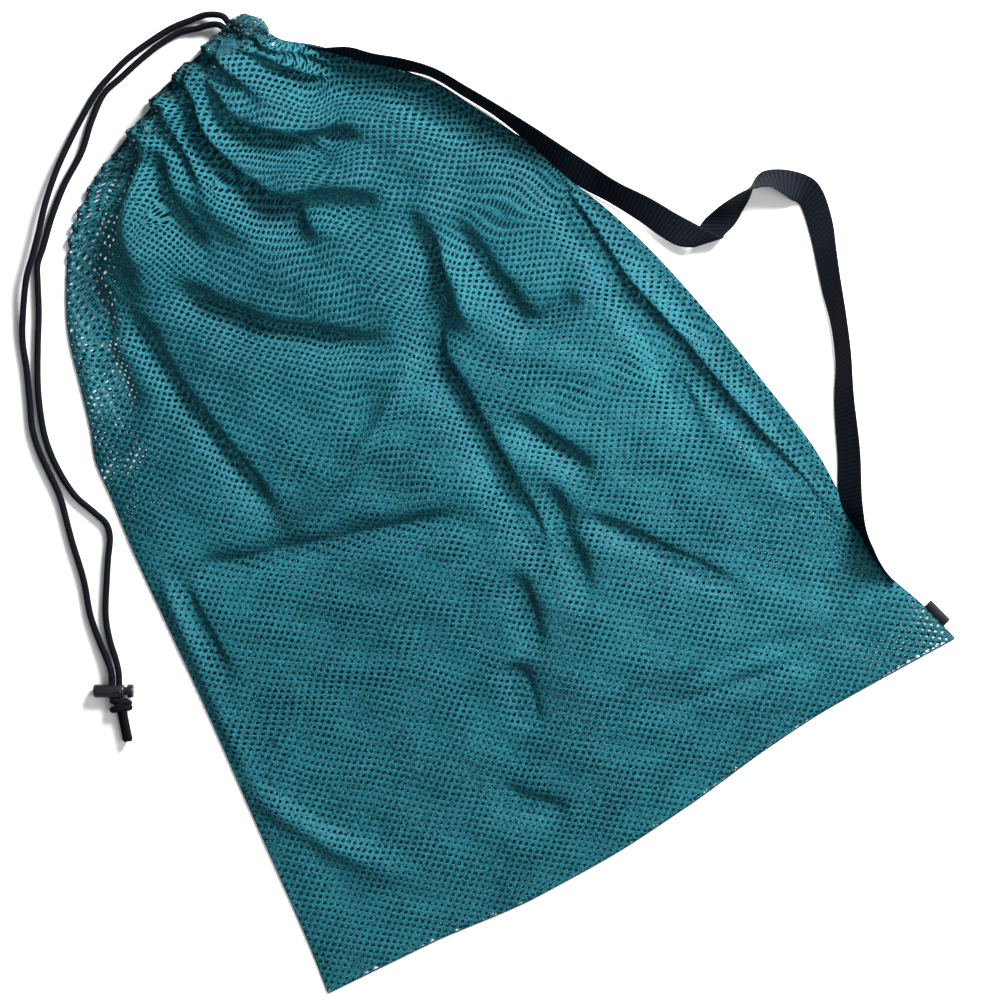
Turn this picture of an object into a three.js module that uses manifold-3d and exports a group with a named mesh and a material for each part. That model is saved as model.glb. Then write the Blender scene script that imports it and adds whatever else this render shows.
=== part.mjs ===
// A drawstring bag of knitted mesh, lying empty on the floor. The origin is on the floor at the
// middle of the bag and its strap, +Y runs up the bag to the neck and +Z points up. Millimetres.

import * as THREE from 'three';
import { mergeVertices } from 'three/addons/utils/BufferGeometryUtils.js';
import Module from 'manifold-3d';

const wasm = await Module();
wasm.setup();

// The bag as it lies: bottom edge, bottom edge to neck, and height of the gathered cloth
const bagWidth = 610;
const bagLength = 754;
const bagLoft = 30;

// Mesh cloth: one wall, the height of the sewn edge, and how far the seams reach inwards
const clothWall = 1.2;
const edgeHeight = 3;
const seamDepth = 3;
const casingWall = 2.4;

// Air left between pieces that touch, and between the floor and what lies beside the bag
const touchGap = 0.3;
const floorGap = 0.1;

// Webbing of the shoulder strap
const strapWidth = 25.4;
const strapThickness = 1.6;

// Drawcord, its lock, its knot and its ends
const cordDiameter = 5.5;
const cordSides = 8;
const lockDiameter = 12;
const lockLength = 26;
const slotOffset = 5.5;
const slotClearance = 0.4;
const buttonLength = 8;
const buttonDiameter = 11;
const buttonStemDiameter = 8;
const buttonStemLength = 2.4;
const buttonBevel = 0.6;
const lockSides = 20;
const knotLength = 11.5;
const knotWidth = 20;
const knotHeight = 11.5;
const tailLength = 25;
const tailSideStep = 3.6;
const knotSides = 14;
const knotRings = 10;

// Side label
const labelLength = 23;
const labelReach = 8;
const labelThickness = 1;
const labelLowSection = 0.35;
const labelHighSection = 0.9;

// How finely the pieces are divided: the cloth along the bag, along the casing and across the
// front, front columns to each back one, the strap, and the cords along their run
const bodyRows = 36;
const casingRows = 8;
const frontColumns = 36;
const frontPerBack = 4;
const strapStepsPerStation = 2;
const cordSteps = 58;

// Folds stay inside a calm strip at the side seams, as a share of the width, and no valley goes
// lower than a share of the loft. The two panels keep a gap between them.
const calmEdge = 0.07;
const lowestShare = 0.06;
const panelGap = 0.4;

// Where the cloth slopes its wall is measured over this share of the width, up to this slope
const slopeStep = 0.004;
const steepest = 1.732;

// The middle of the footprint, from the bag's bottom left corner
const strapReach = 1.152;
const hemDrop = 0.0246;
const footprintX = bagWidth * strapReach / 2;
const footprintY = bagLength * (1 - hemDrop) / 2;

const materials = {
  mesh: new THREE.MeshStandardMaterial({ color: 0x2f7f88, roughness: 0.75, metalness: 0 }),
  casing: new THREE.MeshStandardMaterial({ color: 0x2a747d, roughness: 0.75, metalness: 0 }),
  webbing: new THREE.MeshStandardMaterial({ color: 0x10151f, roughness: 0.7, metalness: 0 }),
  cord: new THREE.MeshStandardMaterial({ color: 0x121a26, roughness: 0.65, metalness: 0 }),
  lock: new THREE.MeshStandardMaterial({ color: 0x151b28, roughness: 0.35, metalness: 0 }),
  label: new THREE.MeshStandardMaterial({ color: 0x0d1018, roughness: 0.6, metalness: 0 }),
};

// Outline of the bag from the bottom edge to the neck, a row for each cross section. leftX and
// rightX are shares of bagWidth, leftY, rightY and arch shares of bagLength, loft of bagLoft.
const sections = [
  { leftX: 0.000, leftY: 0.000, rightX: 0.999, rightY: 0.000, arch: 0.000, loft: 0.00 },
  { leftX: 0.010, leftY: 0.052, rightX: 0.982, rightY: 0.052, arch: 0.000, loft: 0.17 },
  { leftX: 0.018, leftY: 0.107, rightX: 0.961, rightY: 0.103, arch: 0.000, loft: 0.27 },
  { leftX: 0.026, leftY: 0.169, rightX: 0.958, rightY: 0.169, arch: 0.000, loft: 0.33 },
  { leftX: 0.038, leftY: 0.258, rightX: 0.961, rightY: 0.256, arch: 0.000, loft: 0.37 },
  { leftX: 0.050, leftY: 0.348, rightX: 0.946, rightY: 0.348, arch: 0.000, loft: 0.40 },
  { leftX: 0.061, leftY: 0.449, rightX: 0.926, rightY: 0.449, arch: 0.000, loft: 0.42 },
  { leftX: 0.071, leftY: 0.539, rightX: 0.901, rightY: 0.542, arch: 0.000, loft: 0.45 },
  { leftX: 0.081, leftY: 0.600, rightX: 0.878, rightY: 0.603, arch: 0.000, loft: 0.47 },
  { leftX: 0.088, leftY: 0.648, rightX: 0.853, rightY: 0.655, arch: 0.000, loft: 0.50 },
  { leftX: 0.103, leftY: 0.680, rightX: 0.834, rightY: 0.706, arch: 0.000, loft: 0.52 },
  { leftX: 0.122, leftY: 0.731, rightX: 0.814, rightY: 0.739, arch: 0.000, loft: 0.55 },
  { leftX: 0.142, leftY: 0.785, rightX: 0.787, rightY: 0.781, arch: 0.000, loft: 0.60 },
  { leftX: 0.164, leftY: 0.821, rightX: 0.761, rightY: 0.822, arch: 0.002, loft: 0.66 },
  { leftX: 0.210, leftY: 0.876, rightX: 0.714, rightY: 0.868, arch: 0.005, loft: 0.75 },
  { leftX: 0.262, leftY: 0.911, rightX: 0.679, rightY: 0.895, arch: 0.008, loft: 0.84 },
  { leftX: 0.308, leftY: 0.931, rightX: 0.641, rightY: 0.928, arch: 0.011, loft: 0.90 },
  { leftX: 0.364, leftY: 0.945, rightX: 0.602, rightY: 0.954, arch: 0.014, loft: 0.92 },
  { leftX: 0.394, leftY: 0.957, rightX: 0.594, rightY: 0.964, arch: 0.012, loft: 0.92 },
  { leftX: 0.433, leftY: 0.969, rightX: 0.589, rightY: 0.974, arch: 0.008, loft: 0.94 },
  { leftX: 0.476, leftY: 0.977, rightX: 0.588, rightY: 0.985, arch: 0.004, loft: 0.90 },
  { leftX: 0.508, leftY: 0.985, rightX: 0.582, rightY: 0.996, arch: 0.001, loft: 0.80 },
  { leftX: 0.526, leftY: 0.994, rightX: 0.566, rightY: 1.000, arch: 0.000, loft: 0.62 },
];
const mouthSection = 17;

// Gathers that run out of the casing into both panels: how many, how high, and where they end
const gatherCount = 9;
const gatherRise = 0.11;
const gatherEnd = 11;

// How far the bottom edge hangs below the line between its corners. across is a share of the
// width, drop a share of hemDrop. The sections are straight again from straightSection on.
const straightSection = 5;
const hemLine = [
  { across: 0.00, drop: 0.00 },
  { across: 0.17, drop: 0.38 },
  { across: 0.31, drop: 0.92 },
  { across: 0.43, drop: 1.00 },
  { across: 0.57, drop: 0.75 },
  { across: 0.70, drop: 0.28 },
  { across: 0.80, drop: 0.10 },
  { across: 1.00, drop: 0.20 },
];

// Folds of the front panel. from and to are the ends of the fold's line, as shares of bagWidth
// and bagLength. bend (to the left of the line) and halfWidth are shares of bagWidth, and rise is
// a share of bagLoft, negative in a valley.
const folds = [
  // Broad calm areas
  { from: [0.12, 0.36], to: [0.40, 0.10], bend: 0, halfWidth: 0.20, rise: -0.22 },
  { from: [0.70, 0.33], to: [0.88, 0.12], bend: 0, halfWidth: 0.12, rise: -0.16 },
  // Left of the neck
  { from: [0.33, 0.912], to: [0.178, 0.787], bend: -0.042, halfWidth: 0.026, rise: -0.42 },
  { from: [0.190, 0.83], to: [0.150, 0.66], bend: 0, halfWidth: 0.024, rise: -0.26 },
  { from: [0.315, 0.90], to: [0.275, 0.77], bend: 0, halfWidth: 0.024, rise: 0.25 },
  { from: [0.350, 0.93], to: [0.354, 0.775], bend: 0, halfWidth: 0.019, rise: -0.26 },
  { from: [0.229, 0.787], to: [0.264, 0.483], bend: -0.012, halfWidth: 0.018, rise: -0.20 },
  { from: [0.294, 0.775], to: [0.517, 0.593], bend: -0.031, halfWidth: 0.024, rise: -0.28 },
  // Pleats that run down from the neck
  { from: [0.411, 0.942], to: [0.486, 0.736], bend: -0.006, halfWidth: 0.022, rise: -0.46 },
  { from: [0.448, 0.93], to: [0.500, 0.80], bend: -0.03, halfWidth: 0.020, rise: 0.24 },
  { from: [0.458, 0.955], to: [0.618, 0.815], bend: -0.047, halfWidth: 0.020, rise: -0.40 },
  { from: [0.500, 0.80], to: [0.611, 0.765], bend: 0, halfWidth: 0.030, rise: 0.22 },
  { from: [0.479, 0.792], to: [0.611, 0.742], bend: -0.008, halfWidth: 0.019, rise: -0.30 },
  { from: [0.544, 0.955], to: [0.687, 0.837], bend: -0.019, halfWidth: 0.019, rise: -0.44 },
  // Narrow pleats along the right edge
  { from: [0.590, 0.935], to: [0.778, 0.715], bend: 0.020, halfWidth: 0.016, rise: -0.32 },
  { from: [0.618, 0.935], to: [0.812, 0.685], bend: 0.023, halfWidth: 0.014, rise: -0.26 },
  { from: [0.604, 0.935], to: [0.795, 0.700], bend: 0.021, halfWidth: 0.012, rise: 0.20 },
  // The fold down the middle and what lies beside it
  { from: [0.642, 0.702], to: [0.556, 0.567], bend: 0.014, halfWidth: 0.034, rise: -0.36 },
  { from: [0.556, 0.584], to: [0.550, 0.281], bend: 0, halfWidth: 0.021, rise: -0.34 },
  { from: [0.660, 0.719], to: [0.639, 0.562], bend: 0, halfWidth: 0.022, rise: 0.24 },
  { from: [0.675, 0.680], to: [0.690, 0.528], bend: 0, halfWidth: 0.022, rise: -0.28 },
  { from: [0.667, 0.528], to: [0.778, 0.537], bend: 0, halfWidth: 0.020, rise: -0.20 },
  // Right side, down to the corner
  { from: [0.822, 0.663], to: [0.826, 0.337], bend: 0.008, halfWidth: 0.018, rise: -0.24 },
  { from: [0.819, 0.719], to: [0.951, 0.180], bend: 0.029, halfWidth: 0.022, rise: -0.26 },
  { from: [0.955, 0.169], to: [0.868, 0.062], bend: 0.018, halfWidth: 0.024, rise: -0.14 },
  // Across the left half
  { from: [0.111, 0.485], to: [0.489, 0.388], bend: 0, halfWidth: 0.020, rise: -0.26 },
  { from: [0.285, 0.483], to: [0.544, 0.567], bend: -0.022, halfWidth: 0.020, rise: 0.22 },
  // Short creases below the middle
  { from: [0.611, 0.455], to: [0.669, 0.357], bend: 0, halfWidth: 0.018, rise: -0.24 },
  { from: [0.606, 0.376], to: [0.572, 0.238], bend: 0.010, halfWidth: 0.019, rise: -0.24 },
  { from: [0.622, 0.328], to: [0.767, 0.155], bend: 0, halfWidth: 0.016, rise: -0.16 },
  { from: [0.508, 0.301], to: [0.479, 0.216], bend: 0, halfWidth: 0.019, rise: -0.24 },
  { from: [0.442, 0.213], to: [0.421, 0.144], bend: 0, halfWidth: 0.019, rise: -0.22 },
  // Near the bottom edge
  { from: [0.333, 0.092], to: [0.411, 0.043], bend: 0, halfWidth: 0.018, rise: -0.16 },
  { from: [0.028, 0.264], to: [0.208, 0.045], bend: -0.020, halfWidth: 0.022, rise: 0.10 },
  { from: [0.556, 0.099], to: [0.889, 0.051], bend: 0.028, halfWidth: 0.016, rise: -0.10 },
];

// The shoulder strap by its two edges, a row for each station from the neck to the bottom
// corner. x values are shares of bagWidth and y values of bagLength. lean is the edge that stands
// higher, 1 for the first and -1 for the second, and lift the height of the lower one as a share
// of strapWidth. Before the first and after the last row the strap is sewn to the side seam, at
// the sections that strapNeckSeam and strapCornerSeam name.
const strapNeckSeam = 16.25;
const strapCornerSeam = 1.45;
const sewnSpan = 0.2;
const strapStations = [
  { firstX: 0.669, firstY: 0.917, secondX: 0.665, secondY: 0.913, lean: 1, lift: 0.04 },
  { firstX: 0.703, firstY: 0.890, secondX: 0.698, secondY: 0.886, lean: 1, lift: 0.04 },
  { firstX: 0.733, firstY: 0.870, secondX: 0.727, secondY: 0.866, lean: 1, lift: 0.04 },
  { firstX: 0.766, firstY: 0.842, secondX: 0.759, secondY: 0.839, lean: 1, lift: 0.04 },
  { firstX: 0.794, firstY: 0.804, secondX: 0.785, secondY: 0.800, lean: 1, lift: 0.04 },
  { firstX: 0.820, firstY: 0.767, secondX: 0.811, secondY: 0.763, lean: 1, lift: 0.04 },
  { firstX: 0.846, firstY: 0.728, secondX: 0.836, secondY: 0.722, lean: 1, lift: 0.04 },
  { firstX: 0.868, firstY: 0.693, secondX: 0.855, secondY: 0.686, lean: 1, lift: 0.04 },
  { firstX: 0.888, firstY: 0.661, secondX: 0.872, secondY: 0.652, lean: 1, lift: 0.04 },
  { firstX: 0.908, firstY: 0.629, secondX: 0.890, secondY: 0.618, lean: 1, lift: 0.05 },
  { firstX: 0.937, firstY: 0.594, secondX: 0.908, secondY: 0.577, lean: 1, lift: 0.09 },
  { firstX: 0.958, firstY: 0.564, secondX: 0.922, secondY: 0.552, lean: 1, lift: 0.16 },
  { firstX: 0.975, firstY: 0.542, secondX: 0.936, secondY: 0.533, lean: 1, lift: 0.24 },
  { firstX: 0.988, firstY: 0.525, secondX: 0.948, secondY: 0.525, lean: 1, lift: 0.28 },
  { firstX: 0.996, firstY: 0.515, secondX: 0.957, secondY: 0.522, lean: 1, lift: 0.20 },
  { firstX: 1.003, firstY: 0.517, secondX: 0.964, secondY: 0.529, lean: 1, lift: 0.06 },
  { firstX: 1.021, firstY: 0.521, secondX: 0.982, secondY: 0.541, lean: -1, lift: 0.04 },
  { firstX: 1.040, firstY: 0.530, secondX: 1.005, secondY: 0.546, lean: -1, lift: 0.04 },
  { firstX: 1.056, firstY: 0.538, secondX: 1.030, secondY: 0.548, lean: -1, lift: 0.04 },
  { firstX: 1.067, firstY: 0.546, secondX: 1.053, secondY: 0.548, lean: -1, lift: 0.04 },
  { firstX: 1.075, firstY: 0.553, secondX: 1.073, secondY: 0.544, lean: -1, lift: 0.04 },
  { firstX: 1.089, firstY: 0.557, secondX: 1.089, secondY: 0.538, lean: -1, lift: 0.04 },
  { firstX: 1.108, firstY: 0.552, secondX: 1.098, secondY: 0.526, lean: -1, lift: 0.04 },
  { firstX: 1.130, firstY: 0.539, secondX: 1.105, secondY: 0.514, lean: -1, lift: 0.05 },
  { firstX: 1.147, firstY: 0.521, secondX: 1.112, secondY: 0.505, lean: 1, lift: 0.06 },
  { firstX: 1.150, firstY: 0.505, secondX: 1.112, secondY: 0.497, lean: 1, lift: 0.05 },
  { firstX: 1.141, firstY: 0.470, secondX: 1.102, secondY: 0.463, lean: 1, lift: 0.04 },
  { firstX: 1.126, firstY: 0.440, secondX: 1.090, secondY: 0.433, lean: 1, lift: 0.04 },
  { firstX: 1.112, firstY: 0.412, secondX: 1.079, secondY: 0.406, lean: 1, lift: 0.04 },
  { firstX: 1.094, firstY: 0.374, secondX: 1.066, secondY: 0.368, lean: 1, lift: 0.04 },
  { firstX: 1.073, firstY: 0.333, secondX: 1.046, secondY: 0.330, lean: 1, lift: 0.04 },
  { firstX: 1.046, firstY: 0.288, secondX: 1.017, secondY: 0.292, lean: 1, lift: 0.04 },
  { firstX: 1.015, firstY: 0.230, secondX: 0.989, secondY: 0.240, lean: 1, lift: 0.04 },
  { firstX: 0.989, firstY: 0.180, secondX: 0.972, secondY: 0.190, lean: 1, lift: 0.04 },
  { firstX: 0.979, firstY: 0.145, secondX: 0.967, secondY: 0.150, lean: 1, lift: 0.04 },
  { firstX: 0.974, firstY: 0.120, secondX: 0.965, secondY: 0.122, lean: 1, lift: 0.04 },
];

// Where the two strands lie, from the casing to the cord lock, in the part's own millimetres
const leftStrand = [
  [-14.6, 379.4, 10.4], [-15.8, 386.0, 10.0], [-17.0, 391.7, 9.6], [-21.4, 396.4, 7.9],
  [-30.0, 401.4, 5.4],
  [-42.4, 403.9, 3.4], [-58.6, 406.3, 3.0], [-79.5, 405.6, 3.0], [-102.4, 403.0, 3.0], [-122.0, 397.9, 3.0],
  [-140.2, 391.7, 3.0], [-159.0, 381.0, 3.4], [-179.6, 367.4, 5.2], [-202.0, 351.0, 7.6],
  [-225.4, 330.3, 8.9], [-243.2, 311.2, 9.1], [-258.0, 296.0, 9.1], [-270.5, 283.8, 8.7],
  [-287.8, 260.5, 6.0], [-300.4, 240.4, 3.6], [-310.1, 216.7, 3.0], [-320.6, 193.4, 3.0],
  [-331.0, 170.1, 3.0], [-335.3, 150.9, 3.0], [-337.4, 126.8, 3.0], [-339.0, 110.2, 3.0],
  [-348.8, 72.8, 3.0], [-356.8, 38.3, 3.0], [-366.9, 9.0, 3.1], [-371.2, -15.0, 3.6],
  [-372.9, -30.0, 4.8], [-375.2, -41.5, 5.9], [-378.3, -48.0, 6.1], [-382.3, -54.9, 6.1],
  [-385.4, -60.4, 6.1],
];
const rightStrand = [
  [-21.8, 384.6, 9.8], [-23.4, 387.2, 9.6], [-26.0, 389.6, 8.8], [-33.0, 392.5, 7.0],
  [-40.4, 394.4, 5.4], [-47.2, 397.2, 3.9],
  [-54.8, 399.4, 3.1], [-73.0, 399.6, 3.0], [-95.0, 396.4, 3.0], [-117.0, 391.5, 3.0], [-136.3, 387.0, 3.0],
  [-157.4, 372.0, 3.0], [-177.8, 353.4, 3.0], [-203.8, 337.0, 3.0], [-227.2, 318.2, 3.0],
  [-247.3, 298.8, 3.0], [-257.6, 289.5, 3.0], [-265.0, 276.4, 3.0], [-276.8, 254.0, 3.0],
  [-291.5, 230.0, 3.0], [-308.3, 200.7, 3.0], [-318.8, 177.4, 3.0], [-325.6, 156.9, 3.0],
  [-328.9, 132.4, 3.0], [-327.6, 104.3, 3.0], [-320.3, 82.8, 3.0], [-316.6, 70.7, 3.0],
  [-318.8, 60.2, 3.0], [-330.7, 42.6, 3.0], [-340.0, 28.4, 3.0], [-355.9, 2.4, 3.1],
  [-363.0, -17.2, 3.8], [-366.3, -33.0, 5.2], [-369.6, -44.0, 6.0], [-373.1, -50.9, 6.1],
  [-377.1, -57.9, 6.1], [-380.0, -63.0, 6.1],
];

// Where the cord lock and the knot lie and which way they and the ends past the knot point
const lockPoint = new THREE.Vector3(-384.5, -53.7, lockDiameter / 2 + floorGap);
const lockTurn = -0.518;
const knotPoint = new THREE.Vector3(-382.0, -69.0, knotHeight / 2 + floorGap);
const tailTurn = -1.892;

const lerp = THREE.MathUtils.lerp;
const smooth = (low, high, value) => THREE.MathUtils.smoothstep(value, low, high);

// A closed mesh from points and triangles
function closedMesh(points, triangles) {
  const geometry = new THREE.BufferGeometry();
  const values = points.flatMap(p => [p.x, p.y, p.z]);
  geometry.setAttribute('position', new THREE.Float32BufferAttribute(values, 3));
  geometry.setIndex(triangles.flat());
  geometry.computeVertexNormals();
  return geometry;
}

function onlyPositions(geometry) {
  const bare = geometry.clone();
  bare.deleteAttribute('normal');
  bare.deleteAttribute('uv');
  return mergeVertices(bare, 1e-4);
}

function piece(name, geometry, material) {
  const mesh = new THREE.Mesh(geometry, material);
  mesh.name = name;
  return mesh;
}

// Both side seams, the arch and loft and the hem as smooth curves through the tables' rows
const seamCurve = (xName, yName) => new THREE.CatmullRomCurve3(
  sections.map(row => new THREE.Vector3(row[xName] * bagWidth, row[yName] * bagLength, 0)),
);
const leftSeam = seamCurve('leftX', 'leftY');
const rightSeam = seamCurve('rightX', 'rightY');
const archAndLoft = new THREE.CatmullRomCurve3(
  sections.map(row => new THREE.Vector3(row.arch * bagLength, row.loft * bagLoft, 0)),
);
const hemCurve = new THREE.SplineCurve(
  hemLine.map(row => new THREE.Vector2(row.across, row.drop * hemDrop * bagLength)),
);

// A fold fades out past its ends, between these shares of its length
const foldFadeStart = -0.12;
const foldFadeEnd = 0.18;

// Height of one fold above a point on the floor
function foldHeight(fold, x, y) {
  const start = new THREE.Vector2(fold.from[0] * bagWidth, fold.from[1] * bagLength);
  const run = new THREE.Vector2(fold.to[0] * bagWidth, fold.to[1] * bagLength).sub(start);
  const length = run.length();
  run.divideScalar(length);
  const from = new THREE.Vector2(x, y).sub(start);
  const along = from.dot(run) / length;
  const bow = fold.bend * bagWidth * 4 * along * (1 - along);
  const aside = (run.x * from.y - run.y * from.x - bow) / (fold.halfWidth * bagWidth);
  const ends = smooth(foldFadeStart, foldFadeEnd, along) * smooth(foldFadeStart, foldFadeEnd, 1 - along);
  return fold.rise * bagLoft * ends * Math.exp(-aside * aside);
}

// A point of the cloth's footprint, row counted in table rows and across from 0 to 1
function footprint(row, across, inset) {
  const share = row / (sections.length - 1);
  const left = leftSeam.getPoint(share);
  const right = rightSeam.getPoint(share);
  const side = right.clone().sub(left).normalize().multiplyScalar(inset);
  left.add(side);
  right.sub(side);
  const point = left.lerp(right, across);
  const arch = archAndLoft.getPoint(share).x;
  const drop = hemCurve.getPoint(across).y * (1 - smooth(0, straightSection, row));
  point.y += arch * 4 * across * (1 - across) - drop;
  return point;
}

// Height of the front panel's outer face over a point of the footprint
function frontHeight(row, across, point) {
  const loft = archAndLoft.getPoint(row / (sections.length - 1)).y;
  const crown = Math.sqrt(Math.max(0, Math.sin(Math.PI * across)));
  const inFromEdge = smooth(0, calmEdge, across) * smooth(0, calmEdge, 1 - across) * smooth(0, 1, row);
  const folded = folds.reduce((sum, fold) => sum + foldHeight(fold, point.x, point.y), 0);
  const gathered = gatherRise * bagLoft * smooth(gatherEnd, mouthSection, row)
    * Math.cos(2 * Math.PI * gatherCount * across);
  const raised = loft * crown + (folded + gathered) * inFromEdge;
  const lowest = lowestShare * loft;
  return edgeHeight + (raised > lowest ? raised : lowest * Math.exp((raised - lowest) / bagLoft));
}

// How much a wall grows in height where the front panel slopes
function slopeFactor(row, across, inset) {
  const low = Math.max(0, across - slopeStep);
  const high = Math.min(1, across + slopeStep);
  const before = footprint(row, low, inset);
  const after = footprint(row, high, inset);
  const rise = frontHeight(row, high, after) - frontHeight(row, low, before);
  const slope = Math.min(Math.abs(rise) / after.distanceTo(before), steepest);
  return Math.hypot(1, slope);
}

// One closed loop of points round the cloth: over the front, back under the rear
function clothLoop(row, inset, wall) {
  const front = [];
  for (let column = 0; column <= frontColumns; column += 1) {
    const across = column / frontColumns;
    const point = footprint(row, across, inset);
    const outer = frontHeight(row, across, point);
    const inner = Math.max(outer - wall * slopeFactor(row, across, inset), wall + panelGap);
    point.z = inset > 0 ? inner : outer;
    front.push(point);
  }
  const rear = [];
  for (let column = frontColumns; column >= 0; column -= frontPerBack) {
    const point = footprint(row, column / frontColumns, inset);
    point.z = inset > 0 ? wall : 0;
    rear.push(point);
  }
  return front.concat(rear);
}

// Triangles that close the end of a loop, between its front and its rear points
function endTriangles(offset) {
  const triangles = [];
  const rearAt = step => offset + frontColumns + 1 + frontColumns / frontPerBack - step;
  for (let step = 0; step < frontColumns / frontPerBack; step += 1) {
    const first = offset + step * frontPerBack;
    const half = frontPerBack / 2;
    for (let k = 0; k < frontPerBack; k += 1) {
      const apex = k < half ? rearAt(step) : rearAt(step + 1);
      triangles.push([first + k, first + k + 1, apex]);
    }
    triangles.push([first + half, rearAt(step + 1), rearAt(step)]);
  }
  return triangles;
}

// Cloth tube with an outer and an inner face. An open end gets a rim, a sewn end is closed.
function clothTube(outerLoops, innerLoops, sewnStart) {
  const size = outerLoops[0].length;
  const points = outerLoops.flat().concat(innerLoops.flat());
  const innerStart = outerLoops.length * size;
  const triangles = [];
  const skin = (base, count, outward) => {
    for (let loop = 0; loop < count - 1; loop += 1) {
      for (let k = 0; k < size; k += 1) {
        const a = base + loop * size + k;
        const b = base + loop * size + (k + 1) % size;
        const quad = [[a, b, b + size], [a, b + size, a + size]];
        quad.forEach(t => triangles.push(outward ? t : [t[0], t[2], t[1]]));
      }
    }
  };
  const rim = (outerBase, innerBase, forward) => {
    for (let k = 0; k < size; k += 1) {
      const next = (k + 1) % size;
      const quad = [
        [outerBase + k, outerBase + next, innerBase + next],
        [outerBase + k, innerBase + next, innerBase + k],
      ];
      quad.forEach(t => triangles.push(forward ? t : [t[0], t[2], t[1]]));
    }
  };
  skin(0, outerLoops.length, true);
  skin(innerStart, innerLoops.length, false);
  rim(innerStart - size, points.length - size, true);
  if (sewnStart) {
    endTriangles(0).forEach(t => triangles.push([t[0], t[2], t[1]]));
    endTriangles(innerStart).forEach(t => triangles.push(t));
  } else {
    rim(0, innerStart, false);
  }
  return closedMesh(points, triangles);
}

function meshBody() {
  const outer = [];
  const inner = [];
  for (let j = 0; j <= bodyRows; j += 1) {
    const row = mouthSection * j / bodyRows;
    outer.push(clothLoop(row, 0, clothWall));
    const rowPitch = sections[1].leftY * bagLength;
    inner.push(clothLoop(Math.max(row, seamDepth / rowPitch), seamDepth, clothWall));
  }
  return piece('mesh_body', clothTube(outer, inner, true), materials.mesh);
}

// The casing goes on from the body's mouth, one gap away from it, with a double wall
function cordCasing() {
  const outer = [];
  const inner = [];
  const lastSection = sections.length - 1;
  const shift = new THREE.Vector3(0, touchGap, 0);
  for (let j = 0; j <= casingRows; j += 1) {
    const row = lerp(mouthSection, lastSection, j / casingRows);
    outer.push(clothLoop(row, 0, casingWall).map(p => p.add(shift)));
    inner.push(clothLoop(row, seamDepth, casingWall).map(p => p.add(shift)));
  }
  return piece('cord_casing', clothTube(outer, inner, false), materials.casing);
}

// Webbing: a flat band between two edge curves
function shoulderStrap() {
  const sewn = section => {
    const low = footprint(section - sewnSpan / 2, 1, 0);
    const high = footprint(section + sewnSpan / 2, 1, 0);
    const along = high.clone().sub(low).normalize();
    const out = new THREE.Vector3(along.y, -along.x, 0);
    return low.lerp(high, 0.5).add(out.multiplyScalar(touchGap + strapThickness / 2));
  };
  const neckEnd = sewn(strapNeckSeam);
  const cornerEnd = sewn(strapCornerSeam);
  const bottom = strapStations[0].lift * strapWidth;
  const top = new THREE.Vector3(0, 0, bottom + strapWidth);
  const firstEdge = [neckEnd.clone().add(top)];
  const secondEdge = [neckEnd.clone().setZ(bottom)];
  strapStations.forEach(row => {
    const first = new THREE.Vector3(row.firstX * bagWidth, row.firstY * bagLength, 0);
    const second = new THREE.Vector3(row.secondX * bagWidth, row.secondY * bagLength, 0);
    const flat = first.distanceTo(second);
    const stand = Math.sqrt(Math.max(0, strapWidth * strapWidth - flat * flat));
    first.z = row.lift * strapWidth + Math.max(0, row.lean) * stand;
    second.z = row.lift * strapWidth + Math.max(0, -row.lean) * stand;
    firstEdge.push(first);
    secondEdge.push(second);
  });
  firstEdge.push(cornerEnd.clone().add(top));
  secondEdge.push(cornerEnd.clone().setZ(bottom));
  const firstCurve = new THREE.CatmullRomCurve3(firstEdge);
  const secondCurve = new THREE.CatmullRomCurve3(secondEdge);
  const steps = (strapStations.length + 1) * strapStepsPerStation;
  const lowestEdge = strapThickness / 2 + floorGap;
  const points = [];
  for (let j = 0; j <= steps; j += 1) {
    const first = firstCurve.getPoint(j / steps);
    const second = secondCurve.getPoint(j / steps);
    first.z = Math.max(first.z, lowestEdge);
    second.z = Math.max(second.z, lowestEdge);
    const run = firstCurve.getTangent(j / steps).add(secondCurve.getTangent(j / steps)).normalize();
    const face = second.clone().sub(first).cross(run).normalize().multiplyScalar(strapThickness / 2);
    points.push(first.clone().add(face), second.clone().add(face));
    points.push(second.clone().sub(face), first.clone().sub(face));
  }
  const triangles = [[0, 2, 1], [0, 3, 2]];
  for (let j = 0; j < steps; j += 1) {
    for (let k = 0; k < 4; k += 1) {
      const a = j * 4 + k;
      const b = j * 4 + (k + 1) % 4;
      triangles.push([a, b + 4, a + 4], [a, b, b + 4]);
    }
  }
  const last = steps * 4;
  triangles.push([last, last + 1, last + 2], [last, last + 2, last + 3]);
  return piece('shoulder_strap', closedMesh(points, triangles), materials.webbing);
}

// Round cord along a route
function cordTube(name, route) {
  const section = new THREE.Shape();
  for (let k = 0; k < cordSides; k += 1) {
    const angle = 2 * Math.PI * k / cordSides;
    const x = cordDiameter / 2 * Math.cos(angle);
    const y = cordDiameter / 2 * Math.sin(angle);
    if (k === 0) section.moveTo(x, y);
    else section.lineTo(x, y);
  }
  const path = new THREE.CatmullRomCurve3(route.map(p => new THREE.Vector3(...p)));
  const settings = { steps: cordSteps, extrudePath: path, bevelEnabled: false };
  const tube = new THREE.ExtrudeGeometry(section, settings);
  return piece(name, onlyPositions(tube), materials.cord);
}

function solidOf(geometry) {
  const bare = onlyPositions(geometry);
  return new wasm.Manifold(new wasm.Mesh({
    numProp: 3,
    vertProperties: new Float32Array(bare.attributes.position.array),
    triVerts: new Uint32Array(bare.index.array),
  }));
}

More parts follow.
